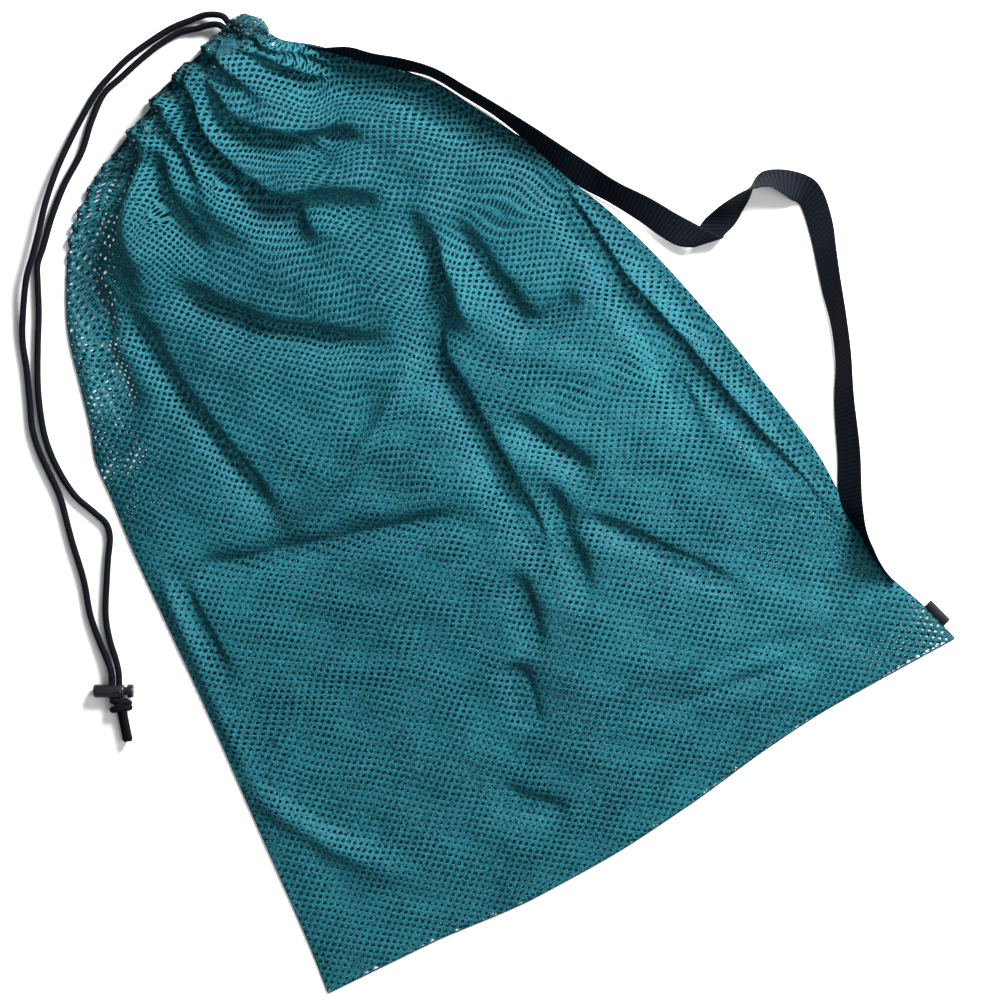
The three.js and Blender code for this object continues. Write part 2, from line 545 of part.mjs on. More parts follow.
function geometryOf(solid) {
  const mesh = solid.getMesh();
  const geometry = new THREE.BufferGeometry();
  geometry.setAttribute('position', new THREE.BufferAttribute(new Float32Array(mesh.vertProperties), 3));
  geometry.setIndex(new THREE.BufferAttribute(new Uint32Array(mesh.triVerts), 1));
  return geometry;
}

// Cord lock: a round barrel that lies across the strands, with a slot for both, and its button
function cordLock() {
  const barrel = new THREE.CylinderGeometry(lockDiameter / 2, lockDiameter / 2, lockLength, lockSides);
  const slotWide = 2 * cordDiameter + 3 * slotClearance;
  const slotHigh = cordDiameter + 2 * slotClearance;
  const slot = new THREE.BoxGeometry(slotHigh, slotWide, 2 * lockDiameter);
  slot.translate(0, slotOffset, 0);
  const cut = geometryOf(solidOf(barrel).subtract(solidOf(slot)));
  const lock = new THREE.Group();
  lock.add(piece('cord_lock_barrel', cut, materials.lock));
  const profile = [
    new THREE.Vector2(0, 0),
    new THREE.Vector2(buttonStemDiameter / 2, 0),
    new THREE.Vector2(buttonStemDiameter / 2, buttonStemLength),
    new THREE.Vector2(buttonDiameter / 2, buttonStemLength + buttonBevel),
    new THREE.Vector2(buttonDiameter / 2, buttonLength - buttonBevel),
    new THREE.Vector2(buttonDiameter / 2 - buttonBevel, buttonLength),
    new THREE.Vector2(0, buttonLength),
  ];
  const turned = new THREE.LatheGeometry(profile, lockSides);
  const button = piece('cord_lock_button', onlyPositions(turned), materials.lock);
  button.position.y = lockLength / 2 + touchGap;
  lock.add(button);
  lock.rotation.set(0, 0, lockTurn - Math.PI / 2);
  lock.children.forEach(child => child.geometry.rotateY(Math.PI / 2));
  lock.position.copy(lockPoint);
  return lock;
}

// Stopper knot and the two ends past it
function knotAndTails() {
  const group = new THREE.Group();
  const ball = new THREE.SphereGeometry(0.5, knotSides, knotRings);
  ball.scale(knotWidth, knotLength, knotHeight);
  const knot = piece('cord_knot', onlyPositions(ball), materials.cord);
  knot.position.copy(knotPoint);
  knot.rotation.z = lockTurn;
  group.add(knot);
  ['left', 'right'].forEach((side, index) => {
    const tube = new THREE.CylinderGeometry(cordDiameter / 2, cordDiameter / 2, tailLength, cordSides * 2);
    const tail = piece(`cord_tail_${side}`, onlyPositions(tube), materials.cord);
    const apart = cordDiameter + touchGap;
    const aside = (index - 0.5) * tailSideStep;
    const above = index * Math.sqrt(apart * apart - tailSideStep * tailSideStep);
    const reach = knotLength / 2 + touchGap + tailLength / 2;
    tail.position.set(
      knotPoint.x + Math.cos(tailTurn) * reach - Math.sin(tailTurn) * aside,
      knotPoint.y + Math.sin(tailTurn) * reach + Math.cos(tailTurn) * aside,
      cordDiameter / 2 + floorGap + above,
    );
    tail.rotation.z = tailTurn - Math.PI / 2;
    group.add(tail);
  });
  return group;
}

// Label: a small folded tab that stands out of the right side seam
function sideLabel() {
  const low = footprint(labelLowSection, 1, 0);
  const high = footprint(labelHighSection, 1, 0);
  const along = high.clone().sub(low).normalize();
  const out = new THREE.Vector3(along.y, -along.x, 0);
  const tab = new THREE.BoxGeometry(labelReach, labelLength, labelThickness);
  const label = piece('side_label', tab, materials.label);
  const middle = low.lerp(high, 0.5).add(out.clone().multiplyScalar(labelReach / 2 + touchGap));
  label.position.set(middle.x, middle.y, edgeHeight / 2);
  label.rotation.z = Math.atan2(-along.x, along.y);
  return label;
}

const bag = new THREE.Group();
const cloth = new THREE.Group();
cloth.add(meshBody(), cordCasing(), shoulderStrap(), sideLabel());
cloth.position.set(-footprintX, -footprintY, 0);
bag.add(cloth);
bag.add(cordTube('drawcord_left', leftStrand), cordTube('drawcord_right', rightStrand));
bag.add(cordLock(), knotAndTails());

export default bag;
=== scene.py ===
import math

import bpy
import numpy as np
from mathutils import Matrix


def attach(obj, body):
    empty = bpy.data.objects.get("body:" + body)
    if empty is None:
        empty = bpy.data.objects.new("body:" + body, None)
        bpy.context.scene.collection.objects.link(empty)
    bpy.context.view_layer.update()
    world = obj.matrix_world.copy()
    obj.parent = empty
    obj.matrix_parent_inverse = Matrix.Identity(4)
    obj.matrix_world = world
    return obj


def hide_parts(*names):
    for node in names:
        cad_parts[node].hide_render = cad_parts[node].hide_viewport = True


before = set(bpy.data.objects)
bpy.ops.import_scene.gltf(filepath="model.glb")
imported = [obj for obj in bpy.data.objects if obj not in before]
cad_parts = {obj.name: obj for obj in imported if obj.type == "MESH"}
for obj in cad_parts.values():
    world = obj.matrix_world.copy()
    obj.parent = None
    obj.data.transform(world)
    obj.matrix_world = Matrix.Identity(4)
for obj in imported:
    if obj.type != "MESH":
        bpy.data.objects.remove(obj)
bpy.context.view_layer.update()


# Camera and light. The bag lies on a white floor and is seen from straight above through a long
# lens, with the main light low from the upper right. Positions are in metres.
photo_middle = (-0.0176, -0.0783)
photo_width = 0.8472
photo_turn = math.radians(-29.87)
lens_mm = 100
sensor_mm = 36

bpy.ops.object.camera_add(
    location=(*photo_middle, photo_width * lens_mm / sensor_mm), rotation=(0, 0, photo_turn)
)
camera = bpy.context.object
camera.data.lens = lens_mm
camera.data.sensor_width = sensor_mm
bpy.context.scene.camera = camera
bpy.context.scene.view_settings.view_transform = "Standard"


def linear(colour):
    """An sRGB hex colour as linear RGBA."""
    channels = [int(colour[k:k + 2], 16) / 255 for k in (1, 3, 5)]
    return (*[c / 12.92 if c <= 0.04045 else ((c + 0.055) / 1.055) ** 2.4 for c in channels], 1)


def add_node(tree, kind, settings, links):
    """A shader node with its settings, and links from other nodes' outputs to its inputs."""
    node = tree.nodes.new(kind)
    for key, value in settings.items():
        if isinstance(key, int) or key in node.inputs:
            node.inputs[key].default_value = value
        else:
            setattr(node, key, value)
    for key, source in links.items():
        tree.links.new(source, node.inputs[key])
    return node


def new_material(name):
    """An empty material's node tree and its output node."""
    material = bpy.data.materials.new(name)
    material.use_nodes = True
    tree = material.node_tree
    tree.nodes.clear()
    return material, tree, tree.nodes.new("ShaderNodeOutputMaterial")


def soft_light(name, location, target, size, watts):
    bpy.ops.object.light_add(type="AREA", location=location)
    light = bpy.context.object
    light.name = name
    light.data.size = size
    light.data.energy = watts
    aim = np.subtract(target, location)
    light.rotation_euler = (
        math.atan2(math.hypot(aim[0], aim[1]), -aim[2]), 0, math.atan2(-aim[0], aim[1])
    )


soft_light("window_light", (1.7, 0.7, 1.2), (0, 0, 0), 0.8, 160)
soft_light("fill_light", (0.9, -1.4, 1.9), (0, 0, 0), 1.8, 30)
world = bpy.data.worlds.new("white_room")
world.use_nodes = True
world.node_tree.nodes["Background"].inputs["Color"].default_value = linear("#f2f4f6")
world.node_tree.nodes["Background"].inputs["Strength"].default_value = 0.32
bpy.context.scene.world = world

bpy.ops.mesh.primitive_plane_add(size=12, location=(0, 0, 0))
floor = bpy.context.object
floor.name = "white_floor"
painted, tree, output = new_material("white_painted_board")
coat = add_node(tree, "ShaderNodeBsdfPrincipled", {
    "Base Color": linear("#f8f9fa"), "Roughness": 0.6,
}, {})
tree.links.new(coat.outputs["BSDF"], output.inputs["Surface"])
floor.data.materials.append(painted)


# Drawcord: one smooth braided polyester cord, 5.5 mm thick. Two strands come out of the casing,
# lie loose on the floor beside the bag, and meet again in the cord lock. Millimetres.
cord_diameter = 5.5
cord_sides = 14
left_strand = [
    [-14.6, 379.4, 10.4], [-15.8, 386.0, 10.0], [-17.0, 391.7, 9.6], [-21.4, 396.4, 7.9],
    [-30.0, 401.4, 5.4], [-42.4, 403.9, 3.4], [-58.6, 406.3, 3.0], [-79.5, 405.6, 3.0],
    [-102.4, 403.0, 3.0], [-122.0, 397.9, 3.0], [-140.2, 391.7, 3.0], [-159.0, 381.0, 3.4],
    [-179.6, 367.4, 5.2], [-202.0, 351.0, 7.6], [-225.4, 330.3, 8.9], [-243.2, 311.2, 9.1],
    [-258.0, 296.0, 9.1], [-270.5, 283.8, 8.7], [-287.8, 260.5, 6.0], [-300.4, 240.4, 3.6],
    [-310.1, 216.7, 3.0], [-320.6, 193.4, 3.0], [-331.0, 170.1, 3.0], [-335.3, 150.9, 3.0],
    [-337.4, 126.8, 3.0], [-339.0, 110.2, 3.0], [-348.8, 72.8, 3.0], [-356.8, 38.3, 3.0],
    [-366.9, 9.0, 3.1], [-371.2, -15.0, 3.6], [-372.9, -30.0, 4.8], [-375.2, -41.5, 5.9],
    [-378.3, -48.0, 6.1], [-382.3, -54.9, 6.1], [-385.4, -60.4, 6.1],
]
right_strand = [
    [-18.9, 378.4, 7.4], [-20.3, 381.4, 8.6],
    [-21.8, 384.6, 9.8], [-23.4, 387.2, 9.6], [-26.0, 389.6, 8.8], [-33.0, 392.5, 7.0],
    [-40.4, 394.4, 5.4], [-47.2, 397.2, 3.9], [-54.8, 399.4, 3.1], [-73.0, 399.6, 3.0],
    [-95.0, 396.4, 3.0], [-117.0, 391.5, 3.0], [-136.3, 387.0, 3.0], [-157.4, 372.0, 3.0],
    [-177.8, 353.4, 3.0], [-203.8, 337.0, 3.0], [-227.2, 318.2, 3.0], [-247.3, 298.8, 3.0],
    [-257.6, 289.5, 3.0], [-265.0, 276.4, 3.0], [-276.8, 254.0, 3.0], [-291.5, 230.0, 3.0],
    [-308.3, 200.7, 3.0], [-318.8, 177.4, 3.0], [-325.6, 156.9, 3.0], [-328.9, 132.4, 3.0],
    [-327.6, 104.3, 3.0], [-320.3, 82.8, 3.0], [-316.6, 70.7, 3.0], [-318.8, 60.2, 3.0],
    [-330.7, 42.6, 3.0], [-340.0, 28.4, 3.0], [-355.9, 2.4, 3.1], [-363.0, -17.2, 3.8],
    [-366.3, -33.0, 5.2], [-369.6, -44.0, 6.0], [-373.1, -50.9, 6.1], [-377.1, -57.9, 6.1],
    [-380.0, -63.0, 6.1],
]


def smooth_line(points, shares):
    """Points of a smooth curve through the given ones, at shares of their count."""
    p = np.asarray(points, float)
    p = np.vstack([2 * p[0] - p[1], p, 2 * p[-1] - p[-2]])
    at = np.clip(np.asarray(shares, float), 0, 1) * (len(p) - 3)
    first = np.minimum(at.astype(int), len(p) - 4)
    w = (at - first)[..., None]
    a, b, c, d = p[first], p[first + 1], p[first + 2], p[first + 3]
    gap = [np.maximum(np.linalg.norm(v - u, axis=-1, keepdims=True), 1e-6) ** 0.5
           for u, v in ((a, b), (b, c), (c, d))]
    lean_b = ((b - a) / gap[0] - (c - a) / (gap[0] + gap[1]) + (c - b) / gap[1]) * gap[1]
    lean_c = ((c - b) / gap[1] - (d - b) / (gap[1] + gap[2]) + (d - c) / gap[2]) * gap[1]
    square = -3 * b + 3 * c - 2 * lean_b - lean_c
    cube = 2 * b - 2 * c + lean_b + lean_c
    return b + lean_b * w + square * w * w + cube * w * w * w


def line_length(points):
    return float(np.linalg.norm(np.diff(points, axis=0), axis=1).sum())


def finished(name, vertices, faces, materials, uv=None):
    """A smooth mesh object from millimetres, at the origin, with its own UV map where it has one."""
    mesh = bpy.data.meshes.new(name)
    mesh.from_pydata((np.asarray(vertices) * 0.001).tolist(), [], faces)
    mesh.update()
    if uv is not None:
        layer = mesh.uv_layers.new(name="UVMap")
        corner = np.zeros(len(mesh.loops), np.int32)
        mesh.loops.foreach_get("vertex_index", corner)
        layer.data.foreach_set("uv", np.asarray(uv, np.float32)[corner].ravel())
    mesh.shade_smooth()
    piece = bpy.data.objects.new(name, mesh)
    bpy.context.scene.collection.objects.link(piece)
    for material in materials:
        mesh.materials.append(material)
    return piece


def tube_along(line, radius, sides):
    """Vertices, faces and UVs in millimetres of a closed round tube along a line of points."""
    line = np.asarray(line, float)
    run = np.gradient(line, axis=0)
    run /= np.linalg.norm(run, axis=1, keepdims=True)
    side = np.cross(run[0], (0, 0, 1.0))
    rings, around = [], np.arange(sides) * 2 * math.pi / sides
    lengths = np.concatenate([[0], np.cumsum(np.linalg.norm(np.diff(line, axis=0), axis=1))])
    radii = np.broadcast_to(radius, len(line))
    uv = []
    for point, way, far, size in zip(line, run, lengths, radii):
        side = side - way * side.dot(way)
        side /= np.linalg.norm(side)
        up = np.cross(side, way)
        rings.append(point + size * (np.outer(np.cos(around), side) + np.outer(np.sin(around), up)))
        uv += [(k * 2 * math.pi * cord_diameter / 2 / sides, far) for k in range(sides)]
    count = len(line)
    vertices = np.vstack(rings + [line[:1] - run[:1] * radii[0] * 0.3, line[-1:] + run[-1:] * radii[-1] * 0.3])
    faces = []
    for ring in range(count - 1):
        for k in range(sides):
            a, b = ring * sides + k, ring * sides + (k + 1) % sides
            faces.append((a, a + sides, b + sides, b))
    for k in range(sides):
        faces.append((k, (k + 1) % sides, count * sides))
        faces.append(((count - 1) * sides + (k + 1) % sides, (count - 1) * sides + k, count * sides + 1))
    return vertices, faces, uv + [(0, 0), (0, lengths[-1])]


# Braided polyester: a half-dull cord whose crossing strands show as small diamonds, 1.6 mm apart
braid_mm = 1.6
braided, tree, output = new_material("braided_polyester_cord")
place = add_node(tree, "ShaderNodeUVMap", {"uv_map": "UVMap"}, {})
one_way = add_node(tree, "ShaderNodeMapping", {"Scale": (1 / braid_mm, 1 / braid_mm, 0)},
                   {"Vector": place.outputs["UV"]})
other_way = add_node(tree, "ShaderNodeMapping", {"Scale": (-1 / braid_mm, 1 / braid_mm, 0)},
                     {"Vector": place.outputs["UV"]})
waves = [
    add_node(tree, "ShaderNodeTexWave", {"bands_direction": "DIAGONAL", "Scale": 0.628},
             {"Vector": way.outputs["Vector"]})
    for way in (one_way, other_way)
]
crossing = add_node(tree, "ShaderNodeMath", {"operation": "MAXIMUM"}, {0: waves[0].outputs["Fac"]})
tree.links.new(waves[1].outputs["Fac"], crossing.inputs[1])
# The strands' crowns are painted lighter than the grooves between them: painted shade in step with the relief
shade = add_node(tree, "ShaderNodeMix", {
    "data_type": "RGBA", 6: linear("#010205"), 7: linear("#060910"),
}, {0: crossing.outputs[0]})
relief = add_node(tree, "ShaderNodeBump", {"Strength": 0.5, "Distance": 0.0003},
                  {"Height": crossing.outputs[0]})
yarn = add_node(tree, "ShaderNodeBsdfPrincipled", {"Roughness": 0.8, "Specular IOR Level": 0.1},
                {"Base Color": shade.outputs[2], "Normal": relief.outputs["Normal"]})
tree.links.new(yarn.outputs["BSDF"], output.inputs["Surface"])


def drawcord(name, route, node):
    line = smooth_line(route, np.linspace(0, 1, 9 * len(route)))
    vertices, faces, uv = tube_along(line, cord_diameter / 2, cord_sides)
    strand = finished(name, vertices, faces, [braided], uv)
    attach(strand, "root")
    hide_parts(node)
    return strand, line


left_cord, left_line = drawcord("braided_cord_left", left_strand, "drawcord_left")
right_cord, right_line = drawcord("braided_cord_right", right_strand, "drawcord_right")


# Cord lock: a moulded nylon barrel with three grip ridges and a slot for both strands, and a
# push button on a narrower neck at its end. It holds the strands pinched and lies on the floor.
lock_middle = (-384.5, -53.7, 6.1)
lock_turn = -0.518
barrel_radius = 5.6
barrel_length = 26
slot_offset = 5.5
ridge_radius = 0.9

moulded, tree, output = new_material("moulded_nylon_half_gloss")
place = add_node(tree, "ShaderNodeTexCoord", {}, {})
flow = add_node(tree, "ShaderNodeTexNoise", {"Scale": 900, "Detail": 2}, {"Vector": place.outputs["Object"]})
grain = add_node(tree, "ShaderNodeBump", {"Strength": 0.12, "Distance": 0.0001}, {"Height": flow.outputs["Fac"]})
nylon = add_node(tree, "ShaderNodeBsdfPrincipled", {
    "Base Color": linear("#0b0f18"), "Roughness": 0.3, "IOR": 1.53,
}, {"Normal": grain.outputs["Normal"]})
tree.links.new(nylon.outputs["BSDF"], output.inputs["Surface"])


def along_lock(obj, along):
    """Turns a piece modelled on the X axis to the lock's own line, in its mesh."""
    obj.location = (0, 0, 0)
    turn = math.cos(lock_turn), math.sin(lock_turn)
    for vertex in obj.data.vertices:
        x, y, z = vertex.co
        x += along * 0.001
        vertex.co = (
            lock_middle[0] * 0.001 + x * turn[0] - y * turn[1],
            lock_middle[1] * 0.001 + x * turn[1] + y * turn[0],
            lock_middle[2] * 0.001 + z,
        )


def turned_bar(name, radius, length, vertices, bevel):
    """A round bar on the X axis with rounded ends, in millimetres."""
    bpy.ops.object.select_all(action="DESELECT")
    bpy.ops.mesh.primitive_cylinder_add(
        vertices=vertices, radius=radius * 0.001, depth=length * 0.001, rotation=(0, math.pi / 2, 0)
    )
    bar = bpy.context.object
    bar.name = name
    bpy.ops.object.transform_apply(location=True, rotation=True, scale=True)
    rounding = bar.modifiers.new("rounding", "BEVEL")
    rounding.width = bevel * 0.001
    rounding.segments = 4
    rounding.limit_method = "ANGLE"
    bpy.ops.object.modifier_apply(modifier=rounding.name)
    return bar


barrel = turned_bar("cord_lock_ridged_barrel", barrel_radius, barrel_length, 40, 1.4)
bpy.ops.object.select_all(action="DESELECT")
bpy.ops.mesh.primitive_cube_add(size=1, location=(slot_offset * 0.001, 0, 0))
slot_tool = bpy.context.object
slot_tool.scale = (0.0122, 0.03, 0.0063)
bpy.ops.object.transform_apply(location=True, rotation=True, scale=True)
cut = barrel.modifiers.new("slot", "BOOLEAN")
cut.operation = "DIFFERENCE"
cut.object = slot_tool
bpy.context.view_layer.objects.active = barrel
bpy.ops.object.modifier_apply(modifier=cut.name)
bpy.data.objects.remove(slot_tool)
ridges = []
for angle in (40, 90, 140):
    ridge = turned_bar("ridge", ridge_radius, barrel_length - 5, 12, 0.5)
    reach = (barrel_radius - 0.25) * 0.001
    for vertex in ridge.data.vertices:
        vertex.co.y += reach * math.cos(math.radians(angle))
        vertex.co.z += reach * math.sin(math.radians(angle))
    ridges.append(ridge)
bpy.ops.object.select_all(action="DESELECT")
for ridge in ridges:
    ridge.select_set(True)
barrel.select_set(True)
bpy.context.view_layer.objects.active = barrel
bpy.ops.object.join()
along_lock(barrel, 0)
barrel.data.materials.clear()
barrel.data.materials.append(moulded)
bpy.ops.object.shade_smooth_by_angle(angle=math.radians(35))
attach(barrel, "root")
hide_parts("cord_lock_barrel")

neck = turned_bar("neck", 3.6, 3.4, 28, 0.3)
for vertex in neck.data.vertices:
    vertex.co.x += 0.0008
head = turned_bar("cord_lock_push_button", 5.4, 5.4, 28, 1.1)
for vertex in head.data.vertices:
    square = 1 + 0.05 * math.cos(4 * math.atan2(vertex.co.z, vertex.co.y))
    vertex.co.y *= square
    vertex.co.z *= square
    vertex.co.x += 0.0052
bpy.ops.object.select_all(action="DESELECT")
neck.select_set(True)
head.select_set(True)
bpy.context.view_layer.objects.active = head
bpy.ops.object.join()
along_lock(head, barrel_length / 2)
head.data.materials.clear()
head.data.materials.append(moulded)
bpy.ops.object.shade_smooth_by_angle(angle=math.radians(35))
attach(head, "root")
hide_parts("cord_lock_button")


# Stopper knot and cord ends: both strands tied together in one overhand knot behind the lock,
# with the two cut ends melted round so that the braid doesn't fray.
knot_middle = np.array((-382.0, -69.0, 5.85))
knot_wraps = [
    {"turn": 8, "aside": -2.9, "long": 7.2, "high": 3.0},
    {"turn": -6, "aside": 2.7, "long": 7.0, "high": 3.0},
    {"turn": 38, "aside": 0.2, "long": 5.4, "high": 3.15},
]
tail_turn = -1.892
tail_length = 31
tail_side_step = 3.6

knot_vertices, knot_faces, knot_uv = [], [], []
for wrap in knot_wraps:
    angle = np.linspace(0, 2 * math.pi, 37)
    flat_turn = lock_turn + math.radians(wrap["turn"])
    long_way = np.array((math.cos(flat_turn), math.sin(flat_turn), 0))
    side_way = np.array((-math.sin(flat_turn), math.cos(flat_turn), 0))
    line = (
        knot_middle
        + np.outer(np.sign(np.cos(angle)) * np.abs(np.cos(angle)) ** 0.8 * wrap["long"], long_way)
        + np.outer(np.sin(angle) * wrap["high"], (0, 0, 1))
        + np.outer(wrap["aside"] + 0.5 * np.sin(angle), side_way)
    )
    vertices, faces, uv = tube_along(line, cord_diameter / 2 - 0.05, cord_sides)
    start = len(knot_vertices)
    knot_vertices += vertices.tolist()
    knot_faces += [tuple(start + k for k in face) for face in faces]
    knot_uv += uv
knot = finished("stopper_knot", knot_vertices, knot_faces, [braided], knot_uv)
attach(knot, "root")
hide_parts("cord_knot")

for index, side in enumerate(("left", "right")):
    way = np.array((math.cos(tail_turn), math.sin(tail_turn), 0))
    across = np.array((-way[1], way[0], 0))
    above = index * math.sqrt((cord_diameter + 0.3) ** 2 - tail_side_step ** 2)
    start = knot_middle + across * (index - 0.5) * tail_side_step
    start[2] = cord_diameter / 2 + 0.1 + above
    reach = np.linspace(0, tail_length, 16)
    line = start + np.outer(reach, way)
    radius = np.full(len(reach), cord_diameter / 2)
    radius[-2:] *= (1.03, 0.82)
    vertices, faces, uv = tube_along(line, radius, cord_sides)
    tail = finished(f"cord_end_{side}", vertices, faces, [braided], uv)
    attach(tail, "root")
    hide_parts(f"cord_tail_{side}")


# Mesh body: two panels of teal knitted polyester mesh, each cut 610 mm wide and 792 mm long,
# sewn together down both sides and across the bottom. The upper panel lies in soft folds that run
# down from the gathered neck, and the lower one lies flat on the floor.
bag_width = 610
bag_length = 754
seam_length = 792
bag_loft = 30
edge_height = 1.5
hem_drop = 0.0246
footprint_middle = np.array((bag_width * 1.152 / 2, bag_length * (1 - hem_drop) / 2))
mouth_section = 17
straight_section = 5

# Cross sections from the bottom edge to the neck: left x and y and right x and y of the seams,
# arch and loft, as shares of bag_width, bag_length and bag_loft
outline = np.array([
    (0.000, 0.000, 0.999, 0.000, 0.000, 0.00), (0.010, 0.052, 0.982, 0.052, 0.000, 0.17),
    (0.018, 0.107, 0.961, 0.103, 0.000, 0.27), (0.026, 0.169, 0.958, 0.169, 0.000, 0.33),
    (0.038, 0.258, 0.961, 0.256, 0.000, 0.37), (0.050, 0.348, 0.946, 0.348, 0.000, 0.40),
    (0.061, 0.449, 0.926, 0.449, 0.000, 0.42), (0.071, 0.539, 0.901, 0.542, 0.000, 0.45),
    (0.081, 0.600, 0.878, 0.603, 0.000, 0.47), (0.088, 0.648, 0.853, 0.655, 0.000, 0.50),
    (0.103, 0.680, 0.834, 0.706, 0.000, 0.52), (0.122, 0.731, 0.814, 0.739, 0.000, 0.55),
    (0.142, 0.785, 0.787, 0.781, 0.000, 0.60), (0.164, 0.821, 0.761, 0.822, 0.002, 0.66),
    (0.210, 0.876, 0.714, 0.868, 0.005, 0.75), (0.262, 0.911, 0.679, 0.895, 0.008, 0.84),
    (0.308, 0.931, 0.641, 0.928, 0.011, 0.90), (0.364, 0.945, 0.602, 0.954, 0.014, 0.92),
    (0.394, 0.957, 0.594, 0.964, 0.012, 0.92), (0.433, 0.969, 0.589, 0.974, 0.008, 0.94),
    (0.476, 0.977, 0.588, 0.985, 0.004, 0.90), (0.508, 0.985, 0.582, 0.996, 0.001, 0.80),
    (0.526, 0.994, 0.566, 1.000, 0.000, 0.62),
])
last_section = len(outline) - 1

# How far the bottom edge hangs below the line between its corners, as a share of hem_drop
hem_across = np.array((0.00, 0.17, 0.31, 0.43, 0.57, 0.70, 0.80, 1.00))
hem_line = np.array([(a, d, 0) for a, d in zip(hem_across, (0.00, 0.38, 0.92, 1.00, 0.75, 0.28, 0.10, 0.20))])

# Folds of the upper panel: from x and y, to x and y, bend, half width, rise. Places are shares
# of bag_width and bag_length, bend and half width of bag_width, rise of bag_loft.
folds = [
    (0.12, 0.36, 0.40, 0.10, 0, 0.20, -0.22), (0.70, 0.33, 0.88, 0.12, 0, 0.12, -0.16),
    (0.33, 0.912, 0.178, 0.787, -0.042, 0.026, -0.42), (0.190, 0.83, 0.150, 0.66, 0, 0.024, -0.26),
    (0.315, 0.90, 0.275, 0.77, 0, 0.024, 0.25), (0.350, 0.93, 0.354, 0.775, 0, 0.019, -0.26),
    (0.229, 0.787, 0.264, 0.483, -0.012, 0.018, -0.20), (0.294, 0.775, 0.517, 0.593, -0.031, 0.024, -0.28),
    (0.411, 0.942, 0.486, 0.736, -0.006, 0.022, -0.46), (0.448, 0.93, 0.500, 0.80, -0.03, 0.020, 0.24),
    (0.458, 0.955, 0.618, 0.815, -0.047, 0.020, -0.40), (0.500, 0.80, 0.611, 0.765, 0, 0.030, 0.22),
    (0.479, 0.792, 0.611, 0.742, -0.008, 0.019, -0.30), (0.544, 0.955, 0.687, 0.837, -0.019, 0.019, -0.44),
    (0.590, 0.935, 0.778, 0.715, 0.020, 0.016, -0.32), (0.618, 0.935, 0.812, 0.685, 0.023, 0.014, -0.26),
    (0.604, 0.935, 0.795, 0.700, 0.021, 0.012, 0.20), (0.642, 0.702, 0.556, 0.567, 0.014, 0.034, -0.36),
    (0.556, 0.584, 0.550, 0.281, 0, 0.021, -0.34), (0.660, 0.719, 0.639, 0.562, 0, 0.022, 0.24),
    (0.675, 0.680, 0.690, 0.528, 0, 0.022, -0.28), (0.667, 0.528, 0.778, 0.537, 0, 0.020, -0.20),
    (0.822, 0.663, 0.826, 0.337, 0.008, 0.018, -0.24), (0.819, 0.719, 0.951, 0.180, 0.029, 0.022, -0.26),
    (0.955, 0.169, 0.868, 0.062, 0.018, 0.024, -0.14), (0.111, 0.485, 0.489, 0.388, 0, 0.020, -0.26),
    (0.285, 0.483, 0.544, 0.567, -0.022, 0.020, 0.22), (0.611, 0.455, 0.669, 0.357, 0, 0.018, -0.24),
    (0.606, 0.376, 0.572, 0.238, 0.010, 0.019, -0.24), (0.622, 0.328, 0.767, 0.155, 0, 0.016, -0.16),
    (0.508, 0.301, 0.479, 0.216, 0, 0.019, -0.24), (0.442, 0.213, 0.421, 0.144, 0, 0.019, -0.22),
    (0.333, 0.092, 0.411, 0.043, 0, 0.018, -0.16), (0.028, 0.264, 0.208, 0.045, -0.020, 0.022, 0.10),
    (0.556, 0.099, 0.889, 0.051, 0.028, 0.016, -0.10),
]


def smooth_step(low, high, value):
    share = np.clip((value - low) / (high - low), 0, 1)
    return share * share * (3 - 2 * share)


def section_at(row):
    """Both seam points, arch and loft of a cross section, in millimetres on the bag's own sheet."""
    share = np.asarray(row, float) / last_section
    left = smooth_line(outline[:, (0, 1, 1)] * (bag_width, bag_length, 0), share)
    right = smooth_line(outline[:, (2, 3, 3)] * (bag_width, bag_length, 0), share)
    shape = smooth_line(outline[:, (4, 5, 5)] * (bag_length, bag_loft, 0), share)
    return left[..., :2], right[..., :2], shape[..., 0], shape[..., 1]


def footprint(row, across):
    left, right, arch, loft = section_at(row)
    point = left + (right - left) * np.asarray(across)[..., None]
    drop = smooth_line(hem_line * (1, hem_drop * bag_length, 0), np.interp(across, hem_across, np.linspace(0, 1, 8)))
    point[..., 1] += arch * 4 * across * (1 - across)
    point[..., 1] -= drop[..., 1] * (1 - smooth_step(0, straight_section, np.asarray(row, float)))
    return point, loft


def fold_height(fold, x, y):
    """Height of one fold above points of the bag's sheet."""
    start = np.array((fold[0] * bag_width, fold[1] * bag_length))
    run = np.array((fold[2] * bag_width, fold[3] * bag_length)) - start
    length = np.hypot(*run)
    run /= length
    from_x, from_y = x - start[0], y - start[1]
    along = (from_x * run[0] + from_y * run[1]) / length
    bow = fold[4] * bag_width * 4 * along * (1 - along)
    aside = (run[0] * from_y - run[1] * from_x - bow) / (fold[5] * bag_width)
    ends = smooth_step(-0.12, 0.18, along) * smooth_step(-0.12, 0.18, 1 - along)
    return fold[6] * bag_loft * ends * np.exp(-aside * aside)


gather_count = 9
gather_rise = 0.16
gather_end = 11

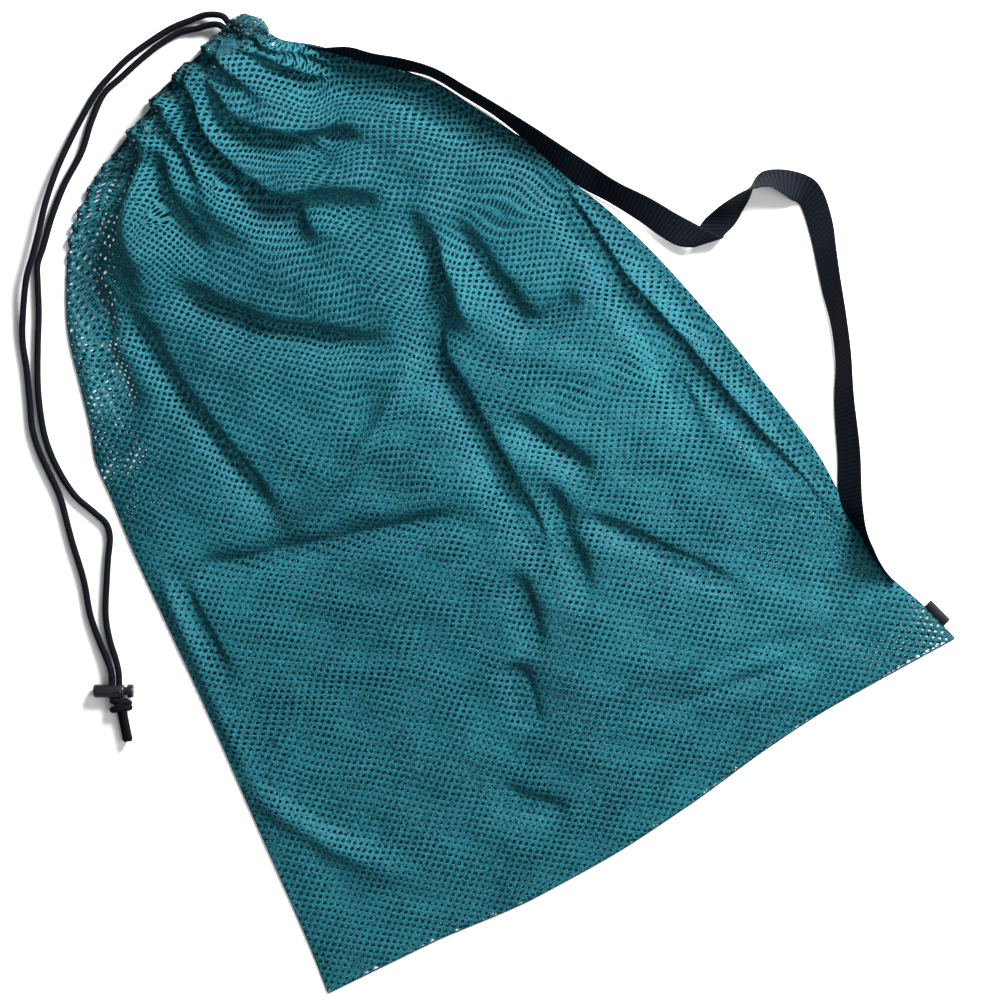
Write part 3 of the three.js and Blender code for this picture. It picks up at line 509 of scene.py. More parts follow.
# Creases of the upper panel along lines in millimetres: half width, rise, 1 where the crease starts
# at the drawn hem, and its points
creases = [
    (9, 7, 1, (221, 710), (206, 681), (187, 650), (167, 613)),
    (8, -9, 1, (210, 702), (180, 671), (150, 644), (123, 620)),
    (8, 9, 1, (254, 722), (249, 684), (252, 654), (258, 622), (267, 589)),
    (6, -7, 1, (244, 714), (239, 686), (240, 656), (243, 621)),
    (8, 10, 1, (282, 730), (275, 692), (280, 662), (288, 632), (300, 606)),
    (8, -10, 1, (270, 717), (265, 680), (269, 641), (284, 607), (302, 561)),
    (6, -7, 1, (301, 732), (304, 709), (310, 690)),
    (8, 7, 1, (313, 739), (320, 708), (334, 682)),
    (7, -10, 0, (342, 709), (350, 685), (358, 663), (373, 644), (398, 620)),
    (9, 8, 0, (344, 721), (355, 691), (374, 663), (398, 646)),
    (5, -6, 1, (333, 734), (349, 720)),
    (5, -4, 0, (382, 654), (416, 629)),
    (6, -5, 0, (284, 670), (312, 653), (369, 614), (397, 587)),
    (6, -5, 0, (283, 656), (333, 619), (388, 579)),
    (13, 6, 0, (289, 624), (319, 603), (355, 582)),
    (7, -7, 0, (300, 588), (332, 566), (369, 547)),
    (7, -7, 0, (199, 688), (152, 669), (119, 627), (108, 593)),
    (6, -5, 0, (114, 627), (102, 568), (91, 500)),
    (7, -6, 0, (140, 593), (136, 525), (142, 483), (161, 364)),
    (8, -8, 0, (180, 585), (195, 551), (220, 517), (315, 447)),
    (6, -6, 0, (213, 701), (212, 644), (216, 585)),
    (8, -8, 0, (251, 710), (258, 669), (269, 635), (297, 555)),
    (8, -8, 0, (280, 720), (285, 678), (303, 651), (339, 629), (377, 614)),
    (6, -7, 0, (332, 720), (341, 695), (360, 674), (419, 631)),
    (6, -6, 0, (373, 707), (407, 669), (441, 627), (496, 517)),
    (6, -5, 0, (352, 716), (377, 678), (407, 644), (474, 542)),
    (8, -8, 0, (292, 597), (330, 585), (373, 559)),
    (12, 6, 0, (297, 576), (335, 572), (373, 585)),
    (8, -9, 0, (391, 530), (383, 500), (373, 474), (345, 438), (341, 364), (339, 288), (335, 212)),
    (7, -7, 0, (408, 517), (413, 466), (421, 398)),
    (6, -5, 0, (407, 398), (441, 396), (474, 405)),
    (6, -6, 0, (502, 500), (508, 457), (510, 424), (510, 339), (504, 254)),
    (7, -7, 0, (500, 542), (534, 457), (555, 356), (569, 254), (580, 136)),
    (5, -4, 0, (585, 110), (568, 76), (530, 47)),
    (5, -5, 0, (68, 366), (119, 347), (178, 326), (298, 292)),
    (6, 4, 0, (174, 364), (212, 374), (254, 381), (332, 428)),
    (6, -7, 0, (373, 343), (391, 305), (408, 269)),
    (7, -7, 0, (369, 284), (356, 237), (349, 180)),
    (5, -5, 0, (380, 247), (424, 182), (468, 117)),
    (6, -6, 0, (310, 227), (298, 195), (292, 163)),
    (6, -5, 0, (269, 161), (261, 136), (257, 108)),
    (6, -5, 0, (203, 69), (227, 47), (251, 32)),
    (9, 4, 0, (17, 199), (68, 110), (127, 34)),
    (7, -2.5, 0, (339, 75), (441, 51), (542, 38)),
    (6, -5, 0, (56, 254), (59, 322), (64, 398)),
    (10, 6, 0, (191, 678), (178, 631), (169, 585)),
    (10, 6, 0, (230, 686), (246, 627), (280, 568)),
    (9, 6, 0, (292, 710), (313, 669), (343, 631), (373, 585)),
    (10, 6, 0, (402, 546), (394, 483), (390, 424)),
    (12, 5, 0, (424, 517), (453, 518), (483, 527)),
    (7, -8, 0, (509, 530), (501, 473), (507, 419), (516, 372), (530, 308), (539, 251), (554, 180), (562, 104)),
    (6, 4, 0, (520, 525), (515, 469), (520, 415), (531, 369), (544, 305), (553, 248), (567, 180), (574, 112)),
    (6, -5, 0, (499, 400), (516, 344), (529, 280), (551, 200)),
    (9, -9, 0, (556, 165), (552, 130), (545, 93), (532, 50)),
    (8, 5, 0, (59, 398), (38, 284), (28, 154)),
    (8, -4, 0, (40, 399), (21, 284), (9, 154), (10, 65)),
    (10, -4, 0, (21, 207), (55, 172), (75, 123), (120, 69)),
]
crease_lines = [
    smooth_line(np.array([(*p, 0) for p in crease[3:]]), np.linspace(0, 1, 3 * len(crease[3:])))[:, :2]
    for crease in creases
]


def near_line(line, point, reach):
    """Distance to a line and the share of its length along it, for points within reach of it."""
    inside = np.all((point > line.min(0) - reach) & (point < line.max(0) + reach), axis=-1)
    close = np.nonzero(inside)[0]
    distance = np.full(len(close), 1e3)
    along = np.zeros(len(close))
    run = np.concatenate([[0], np.cumsum(np.linalg.norm(np.diff(line, axis=0), axis=1))])
    for first, second, start in zip(line[:-1], line[1:], run):
        side = second - first
        size = max(float(np.hypot(*side)), 1e-6)
        share = np.clip((point[close] - first) @ side / size ** 2, 0, 1)
        gap = np.linalg.norm(point[close] - first - share[:, None] * side, axis=1)
        nearer = gap < distance
        distance[nearer] = gap[nearer]
        along[nearer] = (start + share * size)[nearer] / run[-1]
    return close, distance, along


def unruly(point):
    """Slow unevenness of limp cloth that was shaken out by hand: five crossing waves."""
    waves = ((1.3, 47, 20), (1.0, 71, 75), (0.9, 38, 130), (0.8, 55, 160), (0.6, 29, 50))
    total = 0
    for rise, length, angle in waves:
        way = math.radians(angle)
        run = point[..., 0] * math.cos(way) + point[..., 1] * math.sin(way)
        side = point[..., 1] * math.cos(way) - point[..., 0] * math.sin(way)
        total = total + rise * np.sin(2 * math.pi * run / length + 1.7 * np.sin(side / 43 + angle))
    return total


# The valleys are deeper than the ridges beside them are high
valley_share = 1.5


def creased(point):
    """Height that the creases add: those across the cloth, and those that start at the hem."""
    flat = point.reshape(-1, 2)
    across_cloth, from_hem = np.zeros(len(flat)), np.zeros(len(flat))
    for (half, rise, hem, *_), line in zip(creases, crease_lines):
        close, distance, along = near_line(line, flat, 4 * half)
        length = line_length(line)
        fade = smooth_step(0, min(0.6, 75 / length), 1 - along)
        if not hem:
            fade = fade * smooth_step(0, min(0.45, 55 / length), along) * min(1, length / 110)
        wide = half * (1.7 - 0.7 * fade)
        depth = valley_share * rise if rise < 0 else rise
        shape = depth * fade * np.exp(-(distance / wide) ** 2)
        if hem:
            from_hem[close] += shape
        else:
            across_cloth[close] += shape
    return across_cloth.reshape(point.shape[:-1]), from_hem.reshape(point.shape[:-1])


# Folds lie over a little, away from the light, so that their far faces are the steep ones
lean_share = 0.75
lean_way = (-0.93, -0.37)


# The drawn hem along the neck's upper left edge, from its outer end round the puffed tip. Small
# pleats stand square to it, and each crest pushes the edge out a little.
hem_rows = np.concatenate([np.linspace(13.5, last_section, 60), np.full(12, last_section), [21.5, 20.5]])
hem_shares = np.concatenate([np.zeros(60), np.linspace(0.08, 1, 12), [1, 1]])
hem_route = footprint(hem_rows, hem_shares)[0]
hem_run = np.concatenate([[0], np.cumsum(np.linalg.norm(np.diff(hem_route, axis=0), axis=1))])
pleat_pitch = 13.5
pleat_rise = 2.2
pleat_reach = 17
pleat_push = 0.6
hem_start = 13.5

# The puffed tip: its middle on the bag's sheet, half length and half width, height and direction
tip_middle = np.array((346.6, 740.3))
tip_reach = (16.4, 13.4)
tip_height = 23
tip_way = (0.867, -0.498)


def tip_radius(point):
    """Distance from the puffed tip's middle, where 1 is its outline."""
    along = (point - tip_middle) @ np.array(tip_way) / tip_reach[0]
    aside = (point - tip_middle) @ np.array((-tip_way[1], tip_way[0])) / tip_reach[1]
    return np.hypot(along, aside)


def near_hem(point):
    """Distance to the drawn hem and the length along it, for points of the bag's sheet."""
    flat = point.reshape(-1, 2)
    distance = np.full(len(flat), 1e3)
    along = np.zeros(len(flat))
    close = np.nonzero(flat[:, 1] > 0.78 * bag_length)[0]
    for first, second, start in zip(hem_route[:-1], hem_route[1:], hem_run):
        side = second - first
        size = max(float(np.hypot(*side)), 1e-6)
        share = np.clip((flat[close] - first) @ side / size ** 2, 0, 1)
        gap = np.linalg.norm(flat[close] - first - share[:, None] * side, axis=1)
        nearer = gap < distance[close]
        distance[close[nearer]] = gap[nearer]
        along[close[nearer]] = (start + share * size)[nearer]
    return distance.reshape(point.shape[:-1]), along.reshape(point.shape[:-1])


def pleat_wave(along):
    """From -1 in a valley to 1 on a crest, unevenly spaced along the hem."""
    uneven = along + 3.2 * np.sin(along / 17) + 1.8 * np.sin(along / 7.3 + 1)
    return np.cos(2 * math.pi * uneven / pleat_pitch)


def upper_height(row, across):
    """Where the upper panel lies: x, y and height in millimetres, on the bag's own sheet."""
    point, loft = footprint(row, across)
    crown = np.sqrt(np.maximum(0, np.sin(math.pi * across)))
    calm = smooth_step(0, 0.07, across) * smooth_step(0, 0.07, 1 - across) * smooth_step(0, 1, row)
    hem_gap, hem_along = near_hem(point)
    wave = pleat_wave(hem_along)
    start = smooth_step(0, 30, hem_along)
    pleats = start * pleat_rise * wave * np.exp(-hem_gap / pleat_reach)
    tip = smooth_step(last_section - 1.1, last_section, row)
    folded = sum(fold_height(fold, point[..., 0], point[..., 1]) for fold in folds)
    gathered = gather_rise * bag_loft * smooth_step(gather_end, mouth_section, row) \
        * np.cos(2 * math.pi * gather_count * across)
    across_cloth, from_hem = creased(point)
    edge_calm = smooth_step(0, 0.035, across) * smooth_step(0, 0.035, 1 - across) * smooth_step(0, 0.6, row)
    uneven = (0.3 + 0.3 * smooth_step(5, 12, row) + 0.25 * smooth_step(12, 16, row)) * unruly(point)
    relief = (folded + 0.6 * gathered + uneven) * calm + across_cloth * edge_calm + from_hem
    raised = loft * crown + relief
    lowest = 0.06 * loft
    height = np.where(raised > lowest, raised, lowest * np.exp(np.minimum(raised - lowest, 0) / bag_loft))
    at_hem = np.exp(-hem_gap / 9)
    point = point + (lean_share * relief * (1 - 0.8 * start * at_hem))[..., None] * lean_way
    push = start * (pleat_push * wave + 3.2 * np.tanh(from_hem / 4)) * at_hem
    point = point + push[..., None] * (-0.5, 0.87)
    height = (height + 2.5 * start * np.exp(-hem_gap / 9)) * (1 - 0.5 * tip * tip) + pleats
    return point, edge_height + np.maximum(height, 0.2)


def row_and_across(x, y):
    """The cross section and share of its width over points of the bag's sheet."""
    rows = np.linspace(0, last_section, 400)
    left, right, arch, loft = section_at(rows)
    row = np.interp(y, left[:, 1], rows)
    for _ in range(8):
        left_x, left_y = np.interp(row, rows, left[:, 0]), np.interp(row, rows, left[:, 1])
        right_x, right_y = np.interp(row, rows, right[:, 0]), np.interp(row, rows, right[:, 1])
        across = (x - left_x) / (right_x - left_x)
        inside = np.clip(across, 0, 1)
        drop = np.interp(inside, hem_across, hem_line[:, 1]) * hem_drop * bag_length
        high = left_y + (right_y - left_y) * inside + np.interp(row, rows, arch) * 4 * inside * (1 - inside)
        high -= drop * (1 - smooth_step(0, straight_section, row))
        pitch = np.interp(row + 0.25, rows, left[:, 1]) - np.interp(row - 0.25, rows, left[:, 1])
        row = row + np.clip((y - high) / np.maximum(pitch * 2, 4), -2, 2) * 0.9
        row = np.clip(row, -1, last_section)
    return row, across


# The knit: holes 4.2 mm long and 2.9 mm high in rows across the bag, two in each 8.4 by 6.8 mm
cell_width, cell_height = 8.4, 6.8
hole_rim = np.array([(2.1, 0), (1.1, 1.46), (-1.1, 1.46), (-2.1, 0), (-1.1, -1.46), (1.1, -1.46)])
yarn_knot = np.array([(3.476, 0), (0.724, 3.4), (-0.724, 3.4), (-3.476, 0), (-0.724, -3.4), (0.724, -3.4)])
yarn_rise = 0.45


def open_holes(middle, layer):
    """How open each hole is: slack net draws its holes together, other than in the strip inside the
    upper left seam and in the right bottom corner, where it lies taut."""
    point = middle + (bag_width / 2, bag_length / 2)
    row, across = row_and_across(point[:, 0], point[:, 1])
    left, right, _, _ = section_at(np.clip(row, 0, last_section))
    width = right[:, 0] - left[:, 0]
    strip = smooth_step(60, 35, across * width) * smooth_step(7, 9, row)
    corner = smooth_step(90, 50, (1 - across) * width) * smooth_step(1.6, 0.6, row)
    slack = layer["slack"] * (1 + layer["slacker_above"] * smooth_step(6, 10, row))
    slack *= 1 - layer["patches"] * (0.5 + 0.5 * np.tanh(unruly(point) / 1.2))
    return 1 - slack * (1 - 0.85 * np.maximum(strip, corner))


def knit(width, height, layer):
    """Flat net over a rectangle about its middle: points, their rise, and four-sided faces."""
    offset, turn = layer["shift"], layer["turn"]
    columns = np.arange(-int(width / cell_width) - 1, int(width / cell_width) + 2)
    rows = np.arange(-int(height / cell_height * 2) - 1, int(height / cell_height * 2) + 2)
    i, j = np.meshgrid(columns, rows)
    middle = np.stack([(i + 0.5 * (j % 2)) * cell_width + offset[0], j * cell_height / 2 + offset[1]], -1)
    middle = middle.reshape(-1, 2)
    near = (abs(middle[:, 0]) < width / 2 + 10) & (abs(middle[:, 1]) < height / 2 + 10)
    middle = middle[near]
    open_share = np.ones(len(middle))
    if layer["slack"]:
        open_share = open_holes(middle * (layer["stretch"], 1), layer)
    rim = (middle[:, None] + hole_rim * open_share[:, None, None]).reshape(-1, 2)
    knots = (middle[:, None] + yarn_knot).reshape(-1, 2)
    keys = np.round(knots * 20).astype(np.int64)
    _, first, index = np.unique(keys, axis=0, return_index=True, return_inverse=True)
    index = index.reshape(-1, 6) + len(rim)
    points = np.vstack([rim, knots[first]])
    rise = np.concatenate([np.zeros(len(rim)), np.full(len(first), yarn_rise)])
    r = np.arange(len(rim)).reshape(-1, 6)
    faces = np.stack([r, index, np.roll(index, -1, 1), np.roll(r, -1, 1)], -1)
    c, s = math.cos(turn), math.sin(turn)
    lay = np.diag((layer["stretch"], 1)) @ np.array([(c, s), (-s, c)])
    return points @ lay, rise, faces, middle @ lay


# Cloth coordinates over the bag's sheet, every 2 mm: the distance along the cloth from its middle
# line and from its bottom edge, which grows faster where the upper panel slopes
sheet_step = 2.0
sheet_x = np.arange(-20, bag_width + 20, sheet_step)
sheet_y = np.arange(-30, bag_length + 20, sheet_step)
grid_x, grid_y = np.meshgrid(sheet_x, sheet_y)
grid_row, grid_across = row_and_across(grid_x.ravel(), grid_y.ravel())
grid_point, grid_height = upper_height(np.clip(grid_row, 0, last_section), np.clip(grid_across, 0, 1))
laid = np.dstack([grid_point.reshape(*grid_x.shape, 2), grid_height.reshape(grid_x.shape)])
on_bag = (grid_row > 0.2) & (grid_row < last_section) & (grid_across > 0.01) & (grid_across < 0.99)
on_bag = on_bag.reshape(grid_x.shape)


def extra_cloth(axis):
    """How much longer the cloth is than the sheet below it, from a place's own side, evened out."""
    stretch = np.linalg.norm(np.gradient(laid, sheet_step, axis=axis), axis=2)
    stretch = np.where(on_bag, np.clip(stretch, 0.8, 2.2), 1)
    extra = np.cumsum(stretch - 1, axis=axis) * sheet_step
    for _ in range(3):
        extra = np.apply_along_axis(np.convolve, 1 - axis, np.apply_along_axis(
            np.pad, 1 - axis, extra, 3, "edge"), np.ones(7) / 7, "valid")
    return extra


extra_x, extra_y = extra_cloth(1), extra_cloth(0)
middle_column = int((0.5 * bag_width + 20) / sheet_step)
extra_x -= extra_x[:, middle_column:middle_column + 1]


def read_sheet(field, x, y):
    """A value kept every 2 mm over the bag's sheet, read between its points."""
    at_x = np.clip((x - sheet_x[0]) / sheet_step, 0, len(sheet_x) - 1.001)
    at_y = np.clip((y - sheet_y[0]) / sheet_step, 0, len(sheet_y) - 1.001)
    i, j = at_x.astype(int), at_y.astype(int)
    u, v = at_x - i, at_y - j
    return (field[j, i] * (1 - u) * (1 - v) + field[j, i + 1] * u * (1 - v)
            + field[j + 1, i] * (1 - u) * v + field[j + 1, i + 1] * u * v)


def place_on_sheet(points):
    """Where points of the cloth lie on the bag's sheet."""
    x, y = points[:, 0].copy(), points[:, 1].copy()
    for _ in range(14):
        x += 0.8 * (points[:, 0] - x - read_sheet(extra_x, x, y))
        y += 0.8 * (points[:, 1] - y - read_sheet(extra_y, x, y))
    return x, y


def laid_net(layer):
    """One layer of net between two cross sections: vertices in millimetres, and faces."""
    points, rise, faces, middles = knit(bag_width + 60, seam_length + 80, layer)
    middle = np.array((bag_width / 2, bag_length / 2))
    points, middles = points + middle, middles + middle
    upper = layer["side"] == "upper"
    x, y = place_on_sheet(points) if upper else points.T
    hole_x, hole_y = place_on_sheet(middles) if upper else middles.T
    row, across = row_and_across(hole_x, hole_y)
    low, high = layer["rows"]
    kept = (row > low - 0.06) & (row < high) & (across > -0.006) & (across < 1.006)
    if upper:
        beside = np.nonzero((row > max(hem_start, low)) & (row < high) & (across < 0) & (across > -0.16))[0]
        left, right, _, _ = section_at(row[beside])
        _, wall = upper_height(row[beside], np.zeros(len(beside)))
        kept[beside] = -across[beside] * np.linalg.norm(right - left, axis=1) < 1.5 * wall
    kept &= tip_radius(np.column_stack([hole_x, hole_y])) > 0.85
    kept &= (row < 19.8) | (across < 0.6)
    used, faces = np.unique(faces[kept].reshape(-1, 4), return_inverse=True)
    x, y, rise = x[used], y[used], rise[used]
    row, across = row_and_across(x, y)
    row = np.clip(row, 0, last_section)
    outside = np.maximum(-across, 0)
    across = np.clip(across, 0, 1)
    point, height = upper_height(row, across)
    if upper:
        left, right, _, _ = section_at(row)
        beyond = np.clip(outside * np.linalg.norm(right - left, axis=1) / (1.5 * height), 0, 1)
        beyond[row < hem_start - 0.5] = 0
        point = point + (0.35 * height * np.sin(math.pi * beyond))[:, None] * (-0.55, 0.83)
        height = 0.4 + (height - 0.4) * (0.5 + 0.5 * np.cos(math.pi * beyond))
    calm = smooth_step(0, 0.5, row) * smooth_step(0, 0.015, across) * smooth_step(0, 0.015, 1 - across)
    if upper:
        z = height + rise * calm + layer["lift"]
    else:
        z = 0.35 + rise * 0.6 * calm + layer["lift"]
    return np.column_stack([point - footprint_middle, np.maximum(z, 0.1)]), faces.reshape(-1, 4)


def puffed_tip(size, layer):
    """The hem's drawn end, where the net puffs out to a small dome round the cord."""
    points, rise, faces, middles = knit(120, 120, layer)
    round_the_tip = np.linalg.norm(middles, axis=1) < 1.1 * math.pi / 2 * tip_reach[0]
    used, faces = np.unique(faces[round_the_tip].reshape(-1, 4), return_inverse=True)
    flat, rise = points[used], rise[used]
    turn = np.arctan2(flat[:, 1], flat[:, 0])
    lean = np.minimum(np.linalg.norm(flat, axis=1) / tip_reach[0], 0.56 * math.pi)
    crumple = 1 + 0.06 * np.sin(3 * turn + 1) + 0.05 * np.sin(7 * turn + 2) * np.sin(lean)
    reach = (tip_reach[0] + rise) * np.sin(lean) * crumple
    side = reach * np.sin(turn) * tip_reach[1] / tip_reach[0]
    x_way, y_way = np.array((tip_way, (-tip_way[1], tip_way[0])))
    place = tip_middle + size * (np.outer(reach * np.cos(turn), x_way) + np.outer(side, y_way))
    z = 2 + size * ((tip_height - 2) * np.cos(lean) * crumple + rise)
    return np.column_stack([place - footprint_middle, np.maximum(z, 0.3)]), faces.reshape(-1, 4)


def net_piece(name, layers, material):
    """Layers of net joined to one piece."""
    vertices, faces = [], []
    start = 0
    for layer in layers:
        points, quads = puffed_tip(layer["size"], layer) if layer["side"] == "tip" else laid_net(layer)
        vertices.append(points)
        faces.append(quads + start)
        start += len(points)
    return finished(name, np.vstack(vertices), np.vstack(faces).tolist(), [material])


def knitted_polyester(name, lit, deep):
    """Knitted polyester mesh: dull yarn with a soft sheen, in stitches about 0.7 mm apart."""
    material, tree, output = new_material(name)
    place = add_node(tree, "ShaderNodeTexCoord", {}, {})
    patches = add_node(tree, "ShaderNodeTexNoise", {"Scale": 9, "Detail": 3}, {"Vector": place.outputs["Object"]})
    stitches = add_node(tree, "ShaderNodeTexNoise", {"Scale": 620, "Detail": 1}, {"Vector": place.outputs["Object"]})
    both = add_node(tree, "ShaderNodeMath", {"operation": "MULTIPLY_ADD", 1: 0.3}, {
        0: patches.outputs["Fac"], 2: stitches.outputs["Fac"],
    })
    shade = add_node(tree, "ShaderNodeMapRange", {"From Min": 0.44, "From Max": 0.86}, {"Value": both.outputs[0]})
    colour = add_node(tree, "ShaderNodeMix", {
        "data_type": "RGBA", 6: linear(deep), 7: linear(lit),
    }, {0: shade.outputs["Result"]})
    relief = add_node(tree, "ShaderNodeBump", {"Strength": 0.6, "Distance": 0.0004},
                      {"Height": stitches.outputs["Fac"]})
    yarn = add_node(tree, "ShaderNodeBsdfPrincipled", {
        "Roughness": 0.68, "Specular IOR Level": 0.12,
        "Sheen Weight": 0.04, "Sheen Roughness": 0.35, "Sheen Tint": linear("#7fa9b0"),
    }, {"Base Color": colour.outputs[2], "Normal": relief.outputs["Normal"]})
    tree.links.new(yarn.outputs["BSDF"], output.inputs["Surface"])
    return material


teal_mesh = knitted_polyester("teal_knitted_mesh", "#1f6974", "#012c38")
# The lower panel is the same cloth as the upper one, painted darker: painted shade cast by the upper panel over it
mesh_painted_shade = knitted_polyester("teal_mesh_painted_shade", "#16545f", "#01222d")
upper_net = {"side": "upper", "shift": (0, 0), "turn": 0.0, "rows": (0, mouth_section), "lift": 0,
             "slack": 0.36, "slacker_above": -1, "patches": 0.9, "stretch": 1}
lower_net = {"side": "lower", "shift": (3.4, 1.2), "turn": 0.004, "rows": (0, mouth_section), "lift": 0,
             "slack": 0.76, "slacker_above": 0.2, "patches": 0, "stretch": 1.125}
upper_panel = net_piece("mesh_panel_upper", [upper_net], teal_mesh)
lower_panel = net_piece("mesh_panel_lower", [lower_net], mesh_painted_shade)


def rolled_edge(name, rows, shares, radius, material):
    """The folded edge of the cloth along the outline, as a thin roll."""
    point, height = upper_height(rows, shares)
    line = np.column_stack([point - footprint_middle, np.maximum(height * 0.5, radius + 0.05)])
    step = np.concatenate([[0], np.cumsum(np.linalg.norm(np.diff(line, axis=0), axis=1))])
    even = np.linspace(0, step[-1], int(step[-1] / 1.6))
    line = np.column_stack([np.interp(even, step, line[:, k]) for k in range(3)])
    vertices, faces, _ = tube_along(line, radius, 8)
    return finished(name, vertices, faces, [material])


# The folded edges are the same mesh painted darker: painted shade in the folds of the edge
edge_mesh_painted_shade = knitted_polyester("teal_mesh_edge_painted_shade", "#0b3d46", "#04252d")
side_rows = np.linspace(0, 1, 300)
outline_rows = np.concatenate([side_rows[::-1] * mouth_section, np.zeros(150), side_rows * 19.5])
outline_shares = np.concatenate([np.zeros(300), np.linspace(0.004, 0.996, 150), np.ones(300)])
body_edge = rolled_edge("mesh_seam_edge", outline_rows, outline_shares, 0.6, edge_mesh_painted_shade)
for piece in (upper_panel, lower_panel, body_edge):
    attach(piece, "root")
    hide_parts("mesh_body")


# Cord casing: the top edge of the same mesh turned over twice and sewn down, with the cord inside.
# Drawing the cord gathers it into ruffles that end in a puffed tip, where both strands come out.
casing_layers = [
    {"side": "upper", "shift": (0, 0), "turn": 0.0, "rows": (mouth_section, 21.2), "lift": 0, "slack": 0, "stretch": 1},
    {"side": "upper", "shift": (3.1, 1.4), "turn": 0.05, "rows": (mouth_section + 0.3, 21.2), "lift": -0.8,
     "slack": 0.2, "slacker_above": 0.2, "patches": 0, "stretch": 1},
    {"side": "lower", "shift": (2.1, 1.2), "turn": 0.02, "rows": (mouth_section, 21.2), "lift": 0,
     "slack": 0.8, "slacker_above": 0.2, "patches": 0, "stretch": 1},
    {"side": "tip", "size": 1, "shift": (0, 0), "turn": 0.3, "slack": 0, "stretch": 0.8},
    {"side": "tip", "size": 0.88, "shift": (2, 1), "turn": 0.9, "slack": 0, "stretch": 0.75},
]
# The casing is the same mesh painted darker than the body: painted shade of the bunched, gathered neck
gathered_mesh_painted_shade = knitted_polyester("teal_gathered_mesh_painted_shade", "#184f59", "#011d26")
casing = net_piece("gathered_casing", casing_layers, gathered_mesh_painted_shade)
casing_edge = rolled_edge(
    "gathered_casing_edge", hem_rows[hem_rows >= mouth_section], hem_shares[hem_rows >= mouth_section], 0.9, edge_mesh_painted_shade
)
for piece in (casing, casing_edge):
    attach(piece, "root")
    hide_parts("cord_casing")


# Shoulder strap: one length of 25.4 mm ribbed polypropylene webbing, 1.6 mm thick, sewn into the
# right side seam near the neck and near the bottom corner. It stands on edge for most of its run.
strap_width = 25.4
strap_thickness = 1.6
sewn_height = 7
rib_pitch = 3.6
strap_neck_seam = 16.25
strap_corner_seam = 1.7
sewn_depth = 1.5

# Stations of the strap from the neck to the corner: first edge's x and y, second edge's x and y, which
# edge stands higher (1 the first), and the lower one's height as a share of strap_width
strap_stations = [
    (0.669, 0.917, 0.659, 0.909, 1, 0.04), (0.703, 0.890, 0.692, 0.882, 1, 0.04),
    (0.733, 0.870, 0.720, 0.862, 1, 0.04), (0.766, 0.842, 0.755, 0.836, 1, 0.04),
    (0.794, 0.804, 0.782, 0.798, 1, 0.04), (0.820, 0.767, 0.807, 0.760, 1, 0.04),
    (0.846, 0.728, 0.828, 0.716, 1, 0.04), (0.868, 0.693, 0.842, 0.677, 1, 0.04),
    (0.888, 0.661, 0.860, 0.644, 1, 0.04), (0.908, 0.629, 0.884, 0.613, 1, 0.05),
    (0.937, 0.594, 0.908, 0.577, 1, 0.09), (0.958, 0.564, 0.922, 0.552, 1, 0.16),
    (0.975, 0.542, 0.936, 0.533, 1, 0.24), (0.988, 0.525, 0.948, 0.525, 1, 0.28),
    (0.996, 0.515, 0.957, 0.522, 1, 0.20), (1.003, 0.517, 0.964, 0.529, 1, 0.06),
    (1.021, 0.521, 0.982, 0.541, -1, 0.04), (1.040, 0.530, 1.005, 0.546, -1, 0.04),
    (1.056, 0.538, 1.030, 0.548, -1, 0.04), (1.067, 0.546, 1.053, 0.548, -1, 0.04),
    (1.075, 0.553, 1.073, 0.544, -1, 0.04), (1.089, 0.557, 1.089, 0.538, -1, 0.04),
    (1.108, 0.552, 1.098, 0.526, -1, 0.04), (1.130, 0.539, 1.105, 0.514, -1, 0.05),
    (1.147, 0.521, 1.112, 0.505, 1, 0.06), (1.150, 0.505, 1.112, 0.497, 1, 0.05),
    (1.141, 0.470, 1.102, 0.463, 1, 0.04), (1.126, 0.440, 1.090, 0.433, 1, 0.04),
    (1.112, 0.412, 1.079, 0.406, 1, 0.04), (1.094, 0.374, 1.066, 0.368, 1, 0.04),
    (1.073, 0.333, 1.046, 0.330, 1, 0.04), (1.046, 0.288, 1.017, 0.292, 1, 0.04),
    (1.015, 0.230, 0.984, 0.238, 1, 0.04), (0.983, 0.180, 0.953, 0.187, 1, 0.04),
    (0.966, 0.145, 0.958, 0.150, 1, 0.04), (0.963, 0.120, 0.957, 0.122, 1, 0.04),
]


def sewn_end(section):
    """Where the strap goes into the right side seam."""
    low = footprint(np.array([section - 0.1]), np.array([1.0]))[0][0]
    high = footprint(np.array([section + 0.1]), np.array([1.0]))[0][0]
    along = (high - low) / np.linalg.norm(high - low)
    return (low + high) / 2 - np.array((along[1], -along[0])) * sewn_depth


